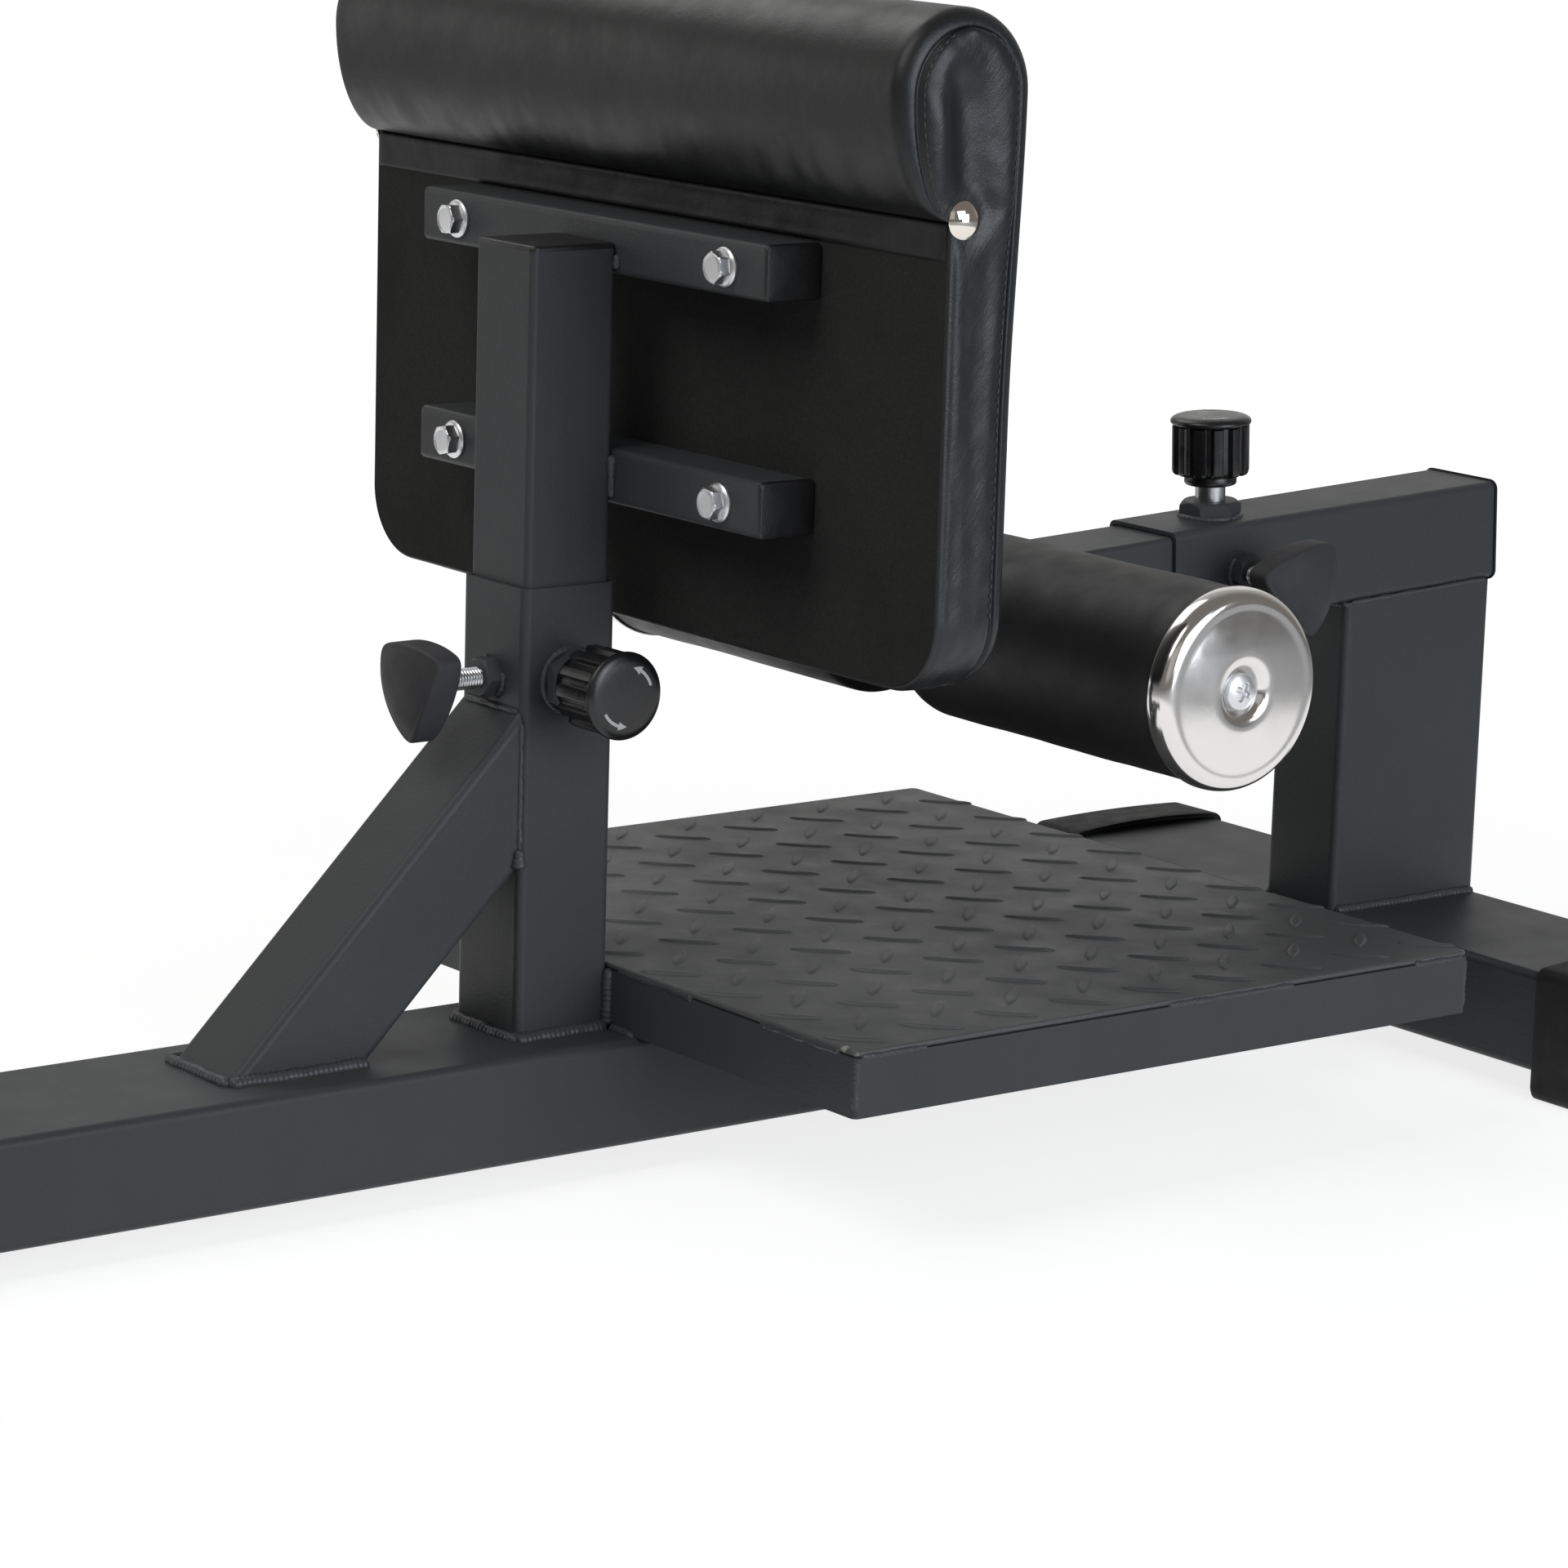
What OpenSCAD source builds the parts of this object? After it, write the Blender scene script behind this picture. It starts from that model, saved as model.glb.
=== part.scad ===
// Sissy squat bench: a floor frame with a tread plate, a height-adjustable calf pad
// and a pair of foam ankle rollers on an adjustable arm.
// X runs across the bench, +Y points from the calf pad to the ankle rollers, Z is up.
// The origin is on the floor, in the middle of the footprint. All sizes are in millimetres.

/* [Base] */
// Length of the bench over its two cross tubes
base_l = 1100; // [1000:10:1400]
// Width of the flat base beam, and of the cross tubes
beam_w = 100; // [80:5:120]
// Height of the base beam and the cross tubes
beam_h = 50; // [40:2:60]
// Wall of the base tubes
base_wall = 2.5; // [2:0.5:4]
// Length of each cross tube
cross_l = 416; // [380:4:600]
// Outside corner radius of the large tubes
tube_r = 4; // [3:0.5:5]

/* [Feet] */
// Length of tube that a foot cap covers
foot_grip = 34; // [25:1:50]
// Thickness of a foot cap round its tube and over its end
foot_wall = 2.5; // [2:0.5:6]
// How far the top of a foot cap arches up in its middle
foot_bow = 3; // [0:0.5:6]
// Thickness of the foot pad under the tube
foot_h = 13; // [8:1:20]

/* [Post] */
// Width of the outer post
post_w = 50; // [45:1:60]
// Height of the outer post above the base beam
post_h = 207; // [190:1:260]
// Distance of the post's middle behind the middle of the bench
post_back = 25; // [0:1:60]
// Wall of the sliding tubes and of the tubes that hold them
slide_wall = 2; // [1.5:0.5:2.5]
// Running gap between a sliding tube and the tube that holds it
slide_gap = 0.5; // [0.3:0.1:0.8]
// Length of the inner post
inner_l = 345; // [335:1:400]
// Height of the inner post's lower end above the base beam at the lowest setting
inner_lift = 12; // [6:1:20]
// Distance between two height settings of the pad
height_step = 30; // [20:5:35]
// Number of height steps above the lowest setting
height_steps = 4; // [2:1:4]
// Length along the beam that the brace takes up behind the post
brace_reach = 151; // [130:1:170]
// Angle between the brace and the base beam
brace_angle = 45; // [40:1:50]

/* [Locks] */
// Distance of the pull pin and the clamp screw below the outer post's mouth
post_lock_drop = 43; // [38:1:50]
// Distance of the pull pin and the clamp screw behind the arm sleeve's mouth
sleeve_lock_in = 44; // [38:1:50]
// Width across the flats of the boss that is welded round a pull pin
boss_flats = 27; // [24:1:30]
// Height of that boss
boss_h = 8; // [6:1:10]
// Diameter of the threaded barrel of a pull pin
barrel_d = 15; // [14.5:0.5:17]
// Diameter of a pull pin's nose
nose_d = 10; // [8:0.5:10.5]
// Gap between the boss and the knob of the post's pull pin
post_knob_lift = 2; // [2:0.5:4]
// Gap between the boss and the knob of the sleeve's pull pin
sleeve_knob_lift = 8; // [4:0.5:10]
// Diameter of a pull knob over its ribs
knob_d = 38.5; // [34:0.5:46]
// Number of grooves round a pull knob
knob_grooves = 12; // [8:1:14]
// Diameter of a pull knob's cap
cap_d = 40; // [38:0.5:50]
// Diameter of the collar at a pull knob's foot
hub_d = 26; // [22:1:30]
// Diameter of a clamp screw
clamp_d = 10; // [8:1:12]
// Width across the flats of a clamp screw's welded nut
clamp_flats = 17; // [16:1:20]
// Height of a clamp screw's welded nut
clamp_nut_h = 8; // [6:1:10]
// Distance of a clamp knob from the tube's face
clamp_knob_out = 32; // [28:1:40]
// Width of a clamp knob over two of its three lobes
clamp_knob_w = 48; // [44:1:54]
// Thickness of a clamp knob's rim
clamp_knob_t = 14; // [12:1:18]

/* [Tread plate] */
// Width of the foot plate
plate_w = 420; // [360:5:480]
// Length of the foot plate
plate_l = 365; // [320:5:420]
// Height of the foot plate above the base beam
plate_h = 30; // [24:1:40]
// Thickness of the tread sheet
tread_t = 3; // [2:0.5:5]
// Thickness of the flat bars under the tread sheet
rim_t = 4; // [3:0.5:6]
// Radius of the foot plate's corners
plate_r = 3; // [1:0.5:3.5]
// Length of a tread lug
lug_l = 30; // [20:1:32]
// Width of a tread lug
lug_w = 6; // [4:0.5:8]
// Height of a tread lug
lug_h = 1.2; // [0.8:0.1:1.5]
// Distance between lugs that lie the same way, along the bench
lug_pitch_y = 42.7; // [40:0.1:50]
// Distance between lugs that lie the same way, across the bench
lug_pitch_x = 45.3; // [42:0.1:54]

/* [Arm] */
// Outside width of the arm sleeve
sleeve_w = 50; // [45:1:60]
// Width of the front upright across the bench
upright_w = 50; // [40:2:60]
// Length of the arm sleeve
sleeve_l = 215; // [205:1:225]
// Height of the arm's centreline over the floor at the sleeve's mouth
arm_z = 241.5; // [225:0.5:265]
// Upward tilt of the arm towards its sleeve
arm_pitch = 2.8; // [0:0.2:4]
// Distance of the roller axle in front of the sleeve's mouth
arm_out = 135; // [125:1:145]
// Length of arm in front of the roller axle
arm_nose = 28; // [22:1:34]
// Length of arm inside its sleeve
arm_in = 170; // [150:1:175]
// Distance between two settings of the arm
arm_step = 25; // [20:1:26]
// Number of arm settings towards the calf pad
arm_steps_out = 2; // [1:1:2]

/* [Rollers] */
// Diameter of a foam roller
roller_d = 90; // [80:1:100]
// Length of a foam roller
roller_l = 194; // [170:1:210]
// Diameter of the roller axle
axle_d = 25; // [22:1:28]
// Wall of the roller axle
axle_wall = 2.5; // [2:0.5:3]
// Wall of the plastic tube inside a roller
liner_wall = 2.5; // [2:0.5:4]
// Thickness of the washer between the arm and a roller
washer_t = 2; // [1.5:0.5:3]
// Thickness of the pressed steel of a roller's end cap
end_cap_t = 1; // [0.8:0.1:1.5]
// Length of foam that an end cap's rim covers
end_cap_rim = 7; // [5:1:12]
// Radius of an end cap's rolled edge
end_cap_bead = 7; // [4:0.5:9]
// Depth of the hollow round an end cap's screw
end_cap_hollow = 3.5; // [1:0.5:5]

/* [Calf pad] */
// Width of the calf pad
pad_w = 440; // [400:5:500]
// Height of the pad's lower edge above the outer post's mouth, below zero when it hangs lower
pad_low = -24; // [-40:1:0]
// Height of the pad from its lower edge to the top of its roll
pad_h = 293.5; // [280:0.5:330]
// Thickness of the pad board
board_t = 15; // [12:1:20]
// Height of the pad board
board_h = 230; // [215:1:240]
// Radius of the pad's lower corners
corner_r = 33; // [20:1:45]
// Thickness of the foam in front of the board
foam_t = 24.5; // [18:0.5:40]
// How far the front of the pad swells in its middle
crown = 5; // [0:0.5:8]
// Radius of the roll along the pad's top
roll_r = 36; // [30:0.5:37]
// How far the middle of the roll stands in front of the board's back
roll_out = 7.8; // [4:0.2:12]
// Distance of the roll's middle above the place where its back meets the board
neck_drop = 53; // [50:0.5:58]
// Radius of the pad's soft edges
edge_r = 7; // [4:0.5:9]
// Height of the band that closes the cover under the roll
strip_h = 17; // [10:0.5:17]
// Diameter of the domed stud in each end of the pad
stud_d = 17; // [12:0.5:20]

/* [Brackets] */
// Length of each pad bracket
bracket_l = 262; // [240:2:300]
// Height of each pad bracket
bracket_h = 25; // [20:1:30]
// Depth of each pad bracket
bracket_d = 30; // [25:1:35]
// Distance of the upper bracket's top above the inner post's tube
bracket_rise = 13; // [2:1:13]
// Distance between the middles of the two brackets
bracket_gap = 103; // [90:1:110]
// Distance between the bolts of one bracket
bolt_gap = 208; // [180:2:220]
// Diameter of the pad bolts
bolt_d = 8; // [6:0.5:8.5]

/* [Hidden] */
$fn = 64;

// Clearances
fit = 0.05;   // round pieces that turn or slide in each other
free = 0.3;   // soft pieces and loose pieces
eps = 0.5;    // how far a cutting shape runs past the face that it cuts

// Colours
steel_black = [0.22, 0.23, 0.25];
rubber_black = [0.09, 0.09, 0.10];
vinyl_black = [0.05, 0.05, 0.055];
plastic_black = [0.06, 0.06, 0.065];
board_black = [0.10, 0.10, 0.10];
chrome = [0.86, 0.86, 0.88];
zinc = [0.75, 0.76, 0.78];

// Heights and places on the frame
beam_top = foot_h + beam_h;
cross_y = base_l / 2 - beam_w / 2;      // middle of each cross tube
beam_l = base_l - 2 * beam_w;
post_y = -post_back;
post_front = post_y + post_w / 2;       // face of the post that the foot plate meets
post_back_y = post_y - post_w / 2;
post_top = beam_top + post_h;
post_lock_z = post_top - post_lock_drop;
mouth_y = cross_y + beam_w / 2 - sleeve_l;

// Sliding tubes
inner_w = post_w - 2 * slide_wall - 2 * slide_gap;
arm_w = sleeve_w - 2 * slide_wall - 2 * slide_gap;
inner_bottom = beam_top + inner_lift;
inner_top = inner_bottom + inner_l;
slide_r = 3;                            // outside corner radius of the sliding tubes
plug_t = 3;                             // thickness of a plastic end plug's plate
plug_in = 10;                           // how far an end plug reaches into its tube
sleeve_plug_lip = 1;                    // how far the sleeve's end plug stands over its tube
face_gap = slide_wall + slide_gap;      // from a holding tube's outside to the sliding tube

// Pull pins, measured outwards from the face of the tube that carries them
barrel_below = 11;                      // barrel below the knob's foot
barrel_inside = 21;                     // barrel inside the knob
barrel_guide = 6;                       // length of the bore that guides the nose
barrel_lip = 3;                         // end wall of the barrel, which the spring pushes on
shank_d = nose_d * 0.7;
spring_room_d = barrel_d - 2.4;
collar_t = 3;
hub_h = 5;
knob_h = 30;                            // from the knob's foot to the underside of its cap
cap_h = 5;
cap_edge = 2.2;
nose_clear = 1.3;                       // from the nose's tip to the sliding tube, pin at rest
groove_r = 3;
pin_play = 0.3;                         // clearance of the nose in the sliding tube's holes
stop_gap = 0.3;                         // from the pin's collar to its stop

// Clamp screws
clamp_clear = 1.2;                      // from the screw's tip to the sliding tube
clamp_dome = 4;
clamp_bore = 12;                        // depth of the screw in its knob
clamp_turn = 103;                       // turn of the sleeve's clamp knob, one lobe nearly down

// Foot plate
rim_h = plate_h - tread_t;
rib_count = 2;
lug_from = [9.8, 13.9];                 // a lug's middle, from the middle of the sheet's rear edge

// Rollers, in the arm's own frame
axle_y = -arm_out;
liner_in = arm_w / 2 + washer_t + 1.2;  // inner end of a roller
roller_end = liner_in + roller_l;
axle_end = roller_end + 0.6;
foam_bore = axle_d / 2 + 2 * fit + liner_wall;
cap_r = roller_d / 2 + end_cap_t + 0.3;
screw_d = 8;
axle_plug_l = 16;

// Calf pad
back_y = post_y + inner_w / 2 + bracket_d;   // plane of the board's back
bracket_top = inner_top + bracket_rise;
bracket_z = [bracket_top - bracket_h / 2, bracket_top - bracket_h / 2 - bracket_gap];
pad_bottom = post_top + pad_low;
pad_top = pad_bottom + pad_h;
skin = 1.2;                             // cover that wraps round the board's edges
front_y = back_y + board_t + foam_t;
roll_y = back_y + roll_out;
roll_z = pad_top - roll_r;
neck_z = roll_z - neck_drop;            // where the roll's back meets the board
stud_z = neck_z + 0.5;
nut_flange_d = 22;
nut_flange_t = 1.2;

// Two-dimensional shapes

// A rectangle with round corners, centred
module round_rect(w, h, r) {
  square([w - 2 * r, h], center = true);
  square([w, h - 2 * r], center = true);
  for (sx = [-1, 1], sy = [-1, 1])
    translate([sx * (w / 2 - r), sy * (h / 2 - r)]) circle(r = r);
}

// A box section tube along Z
module box_tube(w, h, l, wall, r) {
  linear_extrude(l) difference() {
    round_rect(w, h, r);
    round_rect(w - 2 * wall, h - 2 * wall, r - wall + 0.5);
  }
}

// A plug that closes a box section tube, plate outwards along +Z, tube's end at z = 0
module tube_plug(w, h, wall, r, lip = 0) {
  linear_extrude(plug_t) round_rect(w + 2 * lip, h + 2 * lip, r + lip);
  translate([0, 0, -plug_in]) linear_extrude(plug_in + eps)
    round_rect(w - 2 * wall - 0.2, h - 2 * wall - 0.2, max(1, r - wall + 0.2));
}

// Frames of reference

module along_y(y) { translate([0, y, 0]) rotate([-90, 0, 0]) children(); }

// The arm's frame: Y along the arm from the sleeve's mouth, Z out of its top face
module on_arm() { translate([0, mouth_y, arm_z]) rotate([arm_pitch, 0, 0]) children(); }

// Frames of the four locks: Z outwards, z = 0 on the holding tube's outside
module at_post_pin() { translate([post_w / 2, post_y, post_lock_z]) rotate([0, 90, 0]) children(); }
module at_post_clamp() { translate([0, post_back_y, post_lock_z]) rotate([90, 0, 0]) children(); }
module at_sleeve_pin() { on_arm() translate([0, sleeve_lock_in, sleeve_w / 2]) children(); }
module at_sleeve_clamp() {
  on_arm() translate([sleeve_w / 2, sleeve_lock_in, 0]) rotate([0, 90, 0]) rotate(clamp_turn) children();
}

// Base

module base_beam() {
  color(steel_black) translate([0, -beam_l / 2, foot_h + beam_h / 2]) rotate([-90, 0, 0])
    box_tube(beam_w, beam_h, beam_l, base_wall, tube_r);
}

module cross_tube(y) {
  color(steel_black) translate([-cross_l / 2, y, foot_h + beam_h / 2]) rotate([0, 90, 0])
    box_tube(beam_h, beam_w, cross_l, base_wall, tube_r);
}

module front_cross_tube() { cross_tube(cross_y); }

module tail_cross_tube() { cross_tube(-cross_y); }

// Section of a foot cap, with the floor at y = 0 and the arch on top
module foot_outline() {
  cap_h = foot_h + beam_h + foot_wall;
  half = beam_w / 2 + foot_wall;
  r = tube_r + foot_wall / 2;
  steps = 12;
  translate([0, cap_h / 2]) round_rect(2 * half, cap_h, r);
  polygon(concat(
    [[half - r, cap_h / 2], [r - half, cap_h / 2]],
    [for (i = [-steps:steps]) [(half - r) * i / steps, cap_h - 0.01 + foot_bow * cos(90 * i / steps)]]
  ));
}

// A foot cap on the right end of the cross tube at y, with its thick sole on the floor
module foot_cap(y) {
  color(rubber_black) difference() {
    translate([cross_l / 2 - foot_grip, y, 0]) rotate([90, 0, 90])
      linear_extrude(foot_grip + foot_wall) foot_outline();
    translate([cross_l / 2 - foot_grip - eps, y, foot_h + beam_h / 2]) rotate([0, 90, 0])
      linear_extrude(foot_grip + eps) round_rect(beam_h + 0.1, beam_w + 0.1, tube_r);
  }
}

module front_foot_right() { foot_cap(cross_y); }

module front_foot_left() { mirror([1, 0, 0]) foot_cap(cross_y); }

module tail_foot_right() { foot_cap(-cross_y); }

module tail_foot_left() { mirror([1, 0, 0]) foot_cap(-cross_y); }

// Post and brace

module outer_post() {
  color(steel_black) difference() {
    translate([0, post_y, beam_top]) box_tube(post_w, post_w, post_h, slide_wall, tube_r);
    at_post_pin() translate([0, 0, -slide_wall - eps / 2])
      cylinder(d = barrel_d + 4 * fit, h = slide_wall + eps);
    at_post_clamp() translate([0, 0, -slide_wall - eps / 2])
      cylinder(d = clamp_d + 4 * fit, h = slide_wall + eps);
  }
}

module brace() {
  far = 2 * brace_reach;
  color(steel_black) intersection() {
    translate([0, post_back_y - brace_reach, beam_top]) rotate([brace_angle, 0, 0])
      translate([0, -far / 2, -post_w / 2]) rotate([-90, 0, 0])
      box_tube(post_w, post_w, 2 * far, slide_wall, tube_r);
    translate([-post_w, post_back_y - far, beam_top]) cube([2 * post_w, far, far]);
  }
}

// Foot plate

module plate_outline() { translate([0, post_front + plate_l / 2]) round_rect(plate_w, plate_l, plate_r); }

module plate_rim() {
  color(steel_black) translate([0, 0, beam_top]) difference() {
    linear_extrude(rim_h) plate_outline();
    translate([-plate_w / 2 + rim_t, post_front + rim_t, -eps])
      linear_extrude(rim_h + 2 * eps) square([plate_w - 2 * rim_t, plate_l - 2 * rim_t]);
  }
}

module plate_ribs() {
  color(steel_black) for (i = [1:rib_count])
    translate([-plate_w / 2 + rim_t, post_front + plate_l * i / (rib_count + 1) - rim_t / 2, beam_top])
      cube([plate_w - 2 * rim_t, rim_t, rim_h]);
}

// Outline of one tread lug: two arcs that meet at both ends
module lug_outline() {
  arc_r = (lug_l * lug_l / 4 + lug_w * lug_w / 4) / lug_w;
  intersection() {
    translate([0, arc_r - lug_w / 2]) circle(r = arc_r, $fn = 128);
    translate([0, lug_w / 2 - arc_r]) circle(r = arc_r, $fn = 128);
  }
}

module tread_plate() {
  columns = ceil(plate_w / lug_pitch_x / 2);
  rows = ceil(plate_l / lug_pitch_y);
  color(steel_black) translate([0, 0, beam_top + rim_h]) {
    linear_extrude(tread_t) plate_outline();
    translate([0, 0, tread_t - eps]) linear_extrude(lug_h + eps) intersection() {
      plate_outline();
      translate([lug_from[0], post_front + lug_from[1]])
        for (i = [-columns - 1:columns], j = [-1:rows], half = [0, 0.5])
        translate([(i + half) * lug_pitch_x, (j + half) * lug_pitch_y])
        rotate(half == 0 ? 45 : -45) lug_outline();
    }
  }
}

// Front upright and arm sleeve

module front_upright() {
  color(steel_black) difference() {
    translate([0, cross_y, beam_top]) box_tube(upright_w, beam_w, arm_z, base_wall, tube_r);
    on_arm() translate([-upright_w, -sleeve_l, -sleeve_w / 2]) cube([2 * upright_w, 3 * sleeve_l, arm_z]);
  }
}

module arm_sleeve() {
  color(steel_black) difference() {
    on_arm() rotate([-90, 0, 0]) box_tube(sleeve_w, sleeve_w, sleeve_l, slide_wall, tube_r);
    at_sleeve_pin() translate([0, 0, -slide_wall - eps / 2])
      cylinder(d = barrel_d + 4 * fit, h = slide_wall + eps);
    at_sleeve_clamp() translate([0, 0, -slide_wall - eps / 2])
      cylinder(d = clamp_d + 4 * fit, h = slide_wall + eps);
  }
}

module sleeve_end_cap() {
  color(plastic_black) on_arm() translate([0, sleeve_l, 0]) rotate([-90, 0, 0])
    tube_plug(sleeve_w, sleeve_w, slide_wall, tube_r, sleeve_plug_lip);
}

// Parts of the locks, each in its lock's own frame

module boss() {
  color(steel_black) difference() {
    intersection() {
      cylinder(d = boss_flats / cos(30), h = boss_h, $fn = 6);
      cylinder(r1 = boss_flats / 2 + boss_h, r2 = boss_flats / 2 - 0.5, h = boss_h);
    }
    translate([0, 0, -eps]) cylinder(d = barrel_d + 2 * fit, h = boss_h + 2 * eps);
  }
}

module clamp_nut() {
  color(steel_black) difference() {
    intersection() {
      cylinder(d = clamp_flats / cos(30), h = clamp_nut_h, $fn = 6);
      cylinder(r1 = clamp_flats / 2 + clamp_nut_h, r2 = clamp_flats / 2 - 0.3, h = clamp_nut_h);
    }
    translate([0, 0, -eps]) cylinder(d = clamp_d + 2 * fit, h = clamp_nut_h + 2 * eps);
  }
}

// Barrel of a pull pin whose knob stands lift above the boss
module pin_barrel(lift) {
  foot = boss_h + lift;
  color(chrome) translate([0, 0, foot - barrel_below]) difference() {
    cylinder(d = barrel_d, h = barrel_below + barrel_inside);
    translate([0, 0, -eps]) cylinder(d = nose_d + 2 * fit, h = barrel_guide + 2 * eps);
    translate([0, 0, barrel_guide])
      cylinder(d = spring_room_d, h = barrel_below + barrel_inside - barrel_guide - barrel_lip);
    cylinder(d = shank_d + 4 * fit, h = barrel_below + barrel_inside + eps);
  }
}

// Pin with its nose, collar and shank
module pull_pin(lift) {
  foot = boss_h + lift;
  tip = nose_clear - face_gap;
  collar = foot - barrel_below + barrel_guide + stop_gap;
  chamfer = 1;
  color(chrome) {
    translate([0, 0, tip]) cylinder(d1 = nose_d - 2 * chamfer, d2 = nose_d, h = chamfer);
    translate([0, 0, tip + chamfer]) cylinder(d = nose_d, h = collar - tip - chamfer);
    translate([0, 0, collar]) cylinder(d = spring_room_d - 0.4, h = collar_t);
    translate([0, 0, collar]) cylinder(d = shank_d, h = foot + knob_h - collar - 1);
  }
}

// The room that the coil spring fills between the pin's collar and the barrel's end wall
module pin_spring(lift) {
  foot = boss_h + lift;
  low = foot - barrel_below + barrel_guide + stop_gap + collar_t + 0.1;
  high = foot + barrel_inside - barrel_lip - 0.1;
  wire = 1.2;
  color(zinc) translate([0, 0, low]) difference() {
    cylinder(d = shank_d + 1 + 2 * wire, h = high - low);
    translate([0, 0, -eps]) cylinder(d = shank_d + 1, h = high - low + 2 * eps);
  }
}

module pull_knob(lift) {
  color(plastic_black) translate([0, 0, boss_h + lift]) difference() {
    union() {
      cylinder(d1 = hub_d - 2, d2 = hub_d, h = 1);
      translate([0, 0, 1]) cylinder(d = hub_d, h = hub_h);
      difference() {
        translate([0, 0, hub_h]) rotate_extrude() {
          square([knob_d / 2 - 1.5, knob_h - hub_h]);
          translate([0, 1.5]) square([knob_d / 2, knob_h - hub_h - 1.5]);
          translate([knob_d / 2 - 1.5, 1.5]) circle(r = 1.5);
        }
        for (i = [0:knob_grooves - 1]) rotate(i * 360 / knob_grooves)
          translate([knob_d / 2 + groove_r * 0.45, 0, hub_h - eps])
          cylinder(r = groove_r, h = knob_h - hub_h + 2 * eps, $fn = 32);
      }
    }
    translate([0, 0, -eps]) cylinder(d = barrel_d + 0.8, h = barrel_inside + 1 + eps);
    cylinder(d = shank_d + 0.04, h = knob_h - 0.6);
  }
}

module knob_cap(lift) {
  color(plastic_black) translate([0, 0, boss_h + lift + knob_h]) rotate_extrude() {
    square([cap_d / 2 - cap_edge, cap_h]);
    translate([0, cap_edge]) square([cap_d / 2, cap_h - 2 * cap_edge]);
    for (z = [cap_edge, cap_h - cap_edge]) translate([cap_d / 2 - cap_edge, z]) circle(r = cap_edge);
  }
}

module clamp_screw() {
  tip = clamp_clear - face_gap;
  color(zinc) {
    translate([0, 0, tip]) cylinder(d1 = clamp_d - 2, d2 = clamp_d, h = 1);
    translate([0, 0, tip + 1]) cylinder(d = clamp_d, h = clamp_knob_out + clamp_bore - tip - 1.5);
  }
}

// A three-lobed knob with a domed face, one lobe towards -Y of the lock's frame
module clamp_knob() {
  lobe_r = clamp_knob_w * 0.56;
  side_at = clamp_knob_w * 0.39;
  side_r = clamp_knob_w * 1.4;
  ball_r = lobe_r * 2.4;
  module side_disc(a, z0, z1) {
    rotate(a) translate([side_r - side_at, 0, z0]) cylinder(r = side_r, h = z1 - z0, $fn = 128);
  }
  color(rubber_black) translate([0, 0, clamp_knob_out]) difference() {
    intersection() {
      cylinder(r = lobe_r, h = clamp_knob_t + clamp_dome, $fn = 96);
      side_disc(30, 0, clamp_knob_t + clamp_dome);
      side_disc(150, 0, clamp_knob_t + clamp_dome);
      side_disc(270, 0, clamp_knob_t + clamp_dome);
      translate([0, 0, clamp_knob_t + clamp_dome - ball_r]) sphere(r = ball_r, $fn = 128);
    }
    translate([0, 0, -eps]) cylinder(d = clamp_d + 0.04, h = clamp_bore + eps);
  }
}

// Calf pad and what carries it

module inner_post() {
  color(steel_black) difference() {
    translate([0, post_y, inner_bottom]) box_tube(inner_w, inner_w, inner_l, slide_wall, slide_r);
    for (i = [0:height_steps]) translate([0, 0, -i * height_step]) at_post_pin()
      translate([0, 0, -face_gap - slide_wall - eps / 2])
      cylinder(d = nose_d + 2 * pin_play, h = slide_wall + eps);
  }
}

module inner_post_cap() {
  color(plastic_black) translate([0, post_y, inner_top])
    tube_plug(inner_w, inner_w, slide_wall, slide_r);
}

module bracket(z) {
  color(steel_black) difference() {
    translate([-bracket_l / 2, back_y - bracket_d / 2, z]) rotate([0, 90, 0])
      box_tube(bracket_h, bracket_d, bracket_l, slide_wall, slide_r);
    for (x = [-1, 1]) translate([x * bolt_gap / 2, back_y - bracket_d - eps, z]) rotate([-90, 0, 0])
      cylinder(d = bolt_d + 0.4, h = bracket_d + 2 * eps);
  }
}

module upper_bracket() { bracket(bracket_z[0]); }

module lower_bracket() { bracket(bracket_z[1]); }

module bracket_end_caps() {
  color(plastic_black) for (z = bracket_z, side = [0, 1]) mirror([side, 0, 0])
    translate([bracket_l / 2, back_y - bracket_d / 2, z]) rotate([0, 90, 0])
    tube_plug(bracket_h, bracket_d, slide_wall, slide_r);
}

// Outline of the board and its pocket, in X and Z, with the lower corners rounded
module board_outline(side, r) {
  w = pad_w - 2 * side;
  h = board_h - 2 * side;
  low = pad_bottom + side;
  translate([-w / 2, low + r]) square([w, h - r]);
  translate([-w / 2 + r, low]) square([w - 2 * r, h]);
  for (s = [-1, 1]) translate([s * (w / 2 - r), low + r]) circle(r = r);
}

// A plate in the XZ plane between two planes across Y
module upright_plate(y0, y1) {
  translate([0, y1, 0]) rotate([90, 0, 0]) linear_extrude(y1 - y0) children();
}

module pad_board() {
  color(board_black) difference() {
    upright_plate(back_y, back_y + board_t) board_outline(skin + free, corner_r - skin);
    for (x = [-1, 1], z = bracket_z) translate([x * bolt_gap / 2, back_y - eps, z]) rotate([-90, 0, 0]) {
      cylinder(d = bolt_d + 2.1, h = board_t + 2 * eps);
      translate([0, 0, board_t - nut_flange_t - 0.2 + eps]) cylinder(d = nut_flange_d + 0.4, h = 5);
    }
    for (s = [0, 1]) mirror([s, 0, 0]) translate([pad_w / 2 - 20, back_y + board_t / 2, stud_z])
      rotate([0, 90, 0]) cylinder(d = 3.2, h = 30);
  }
}

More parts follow.
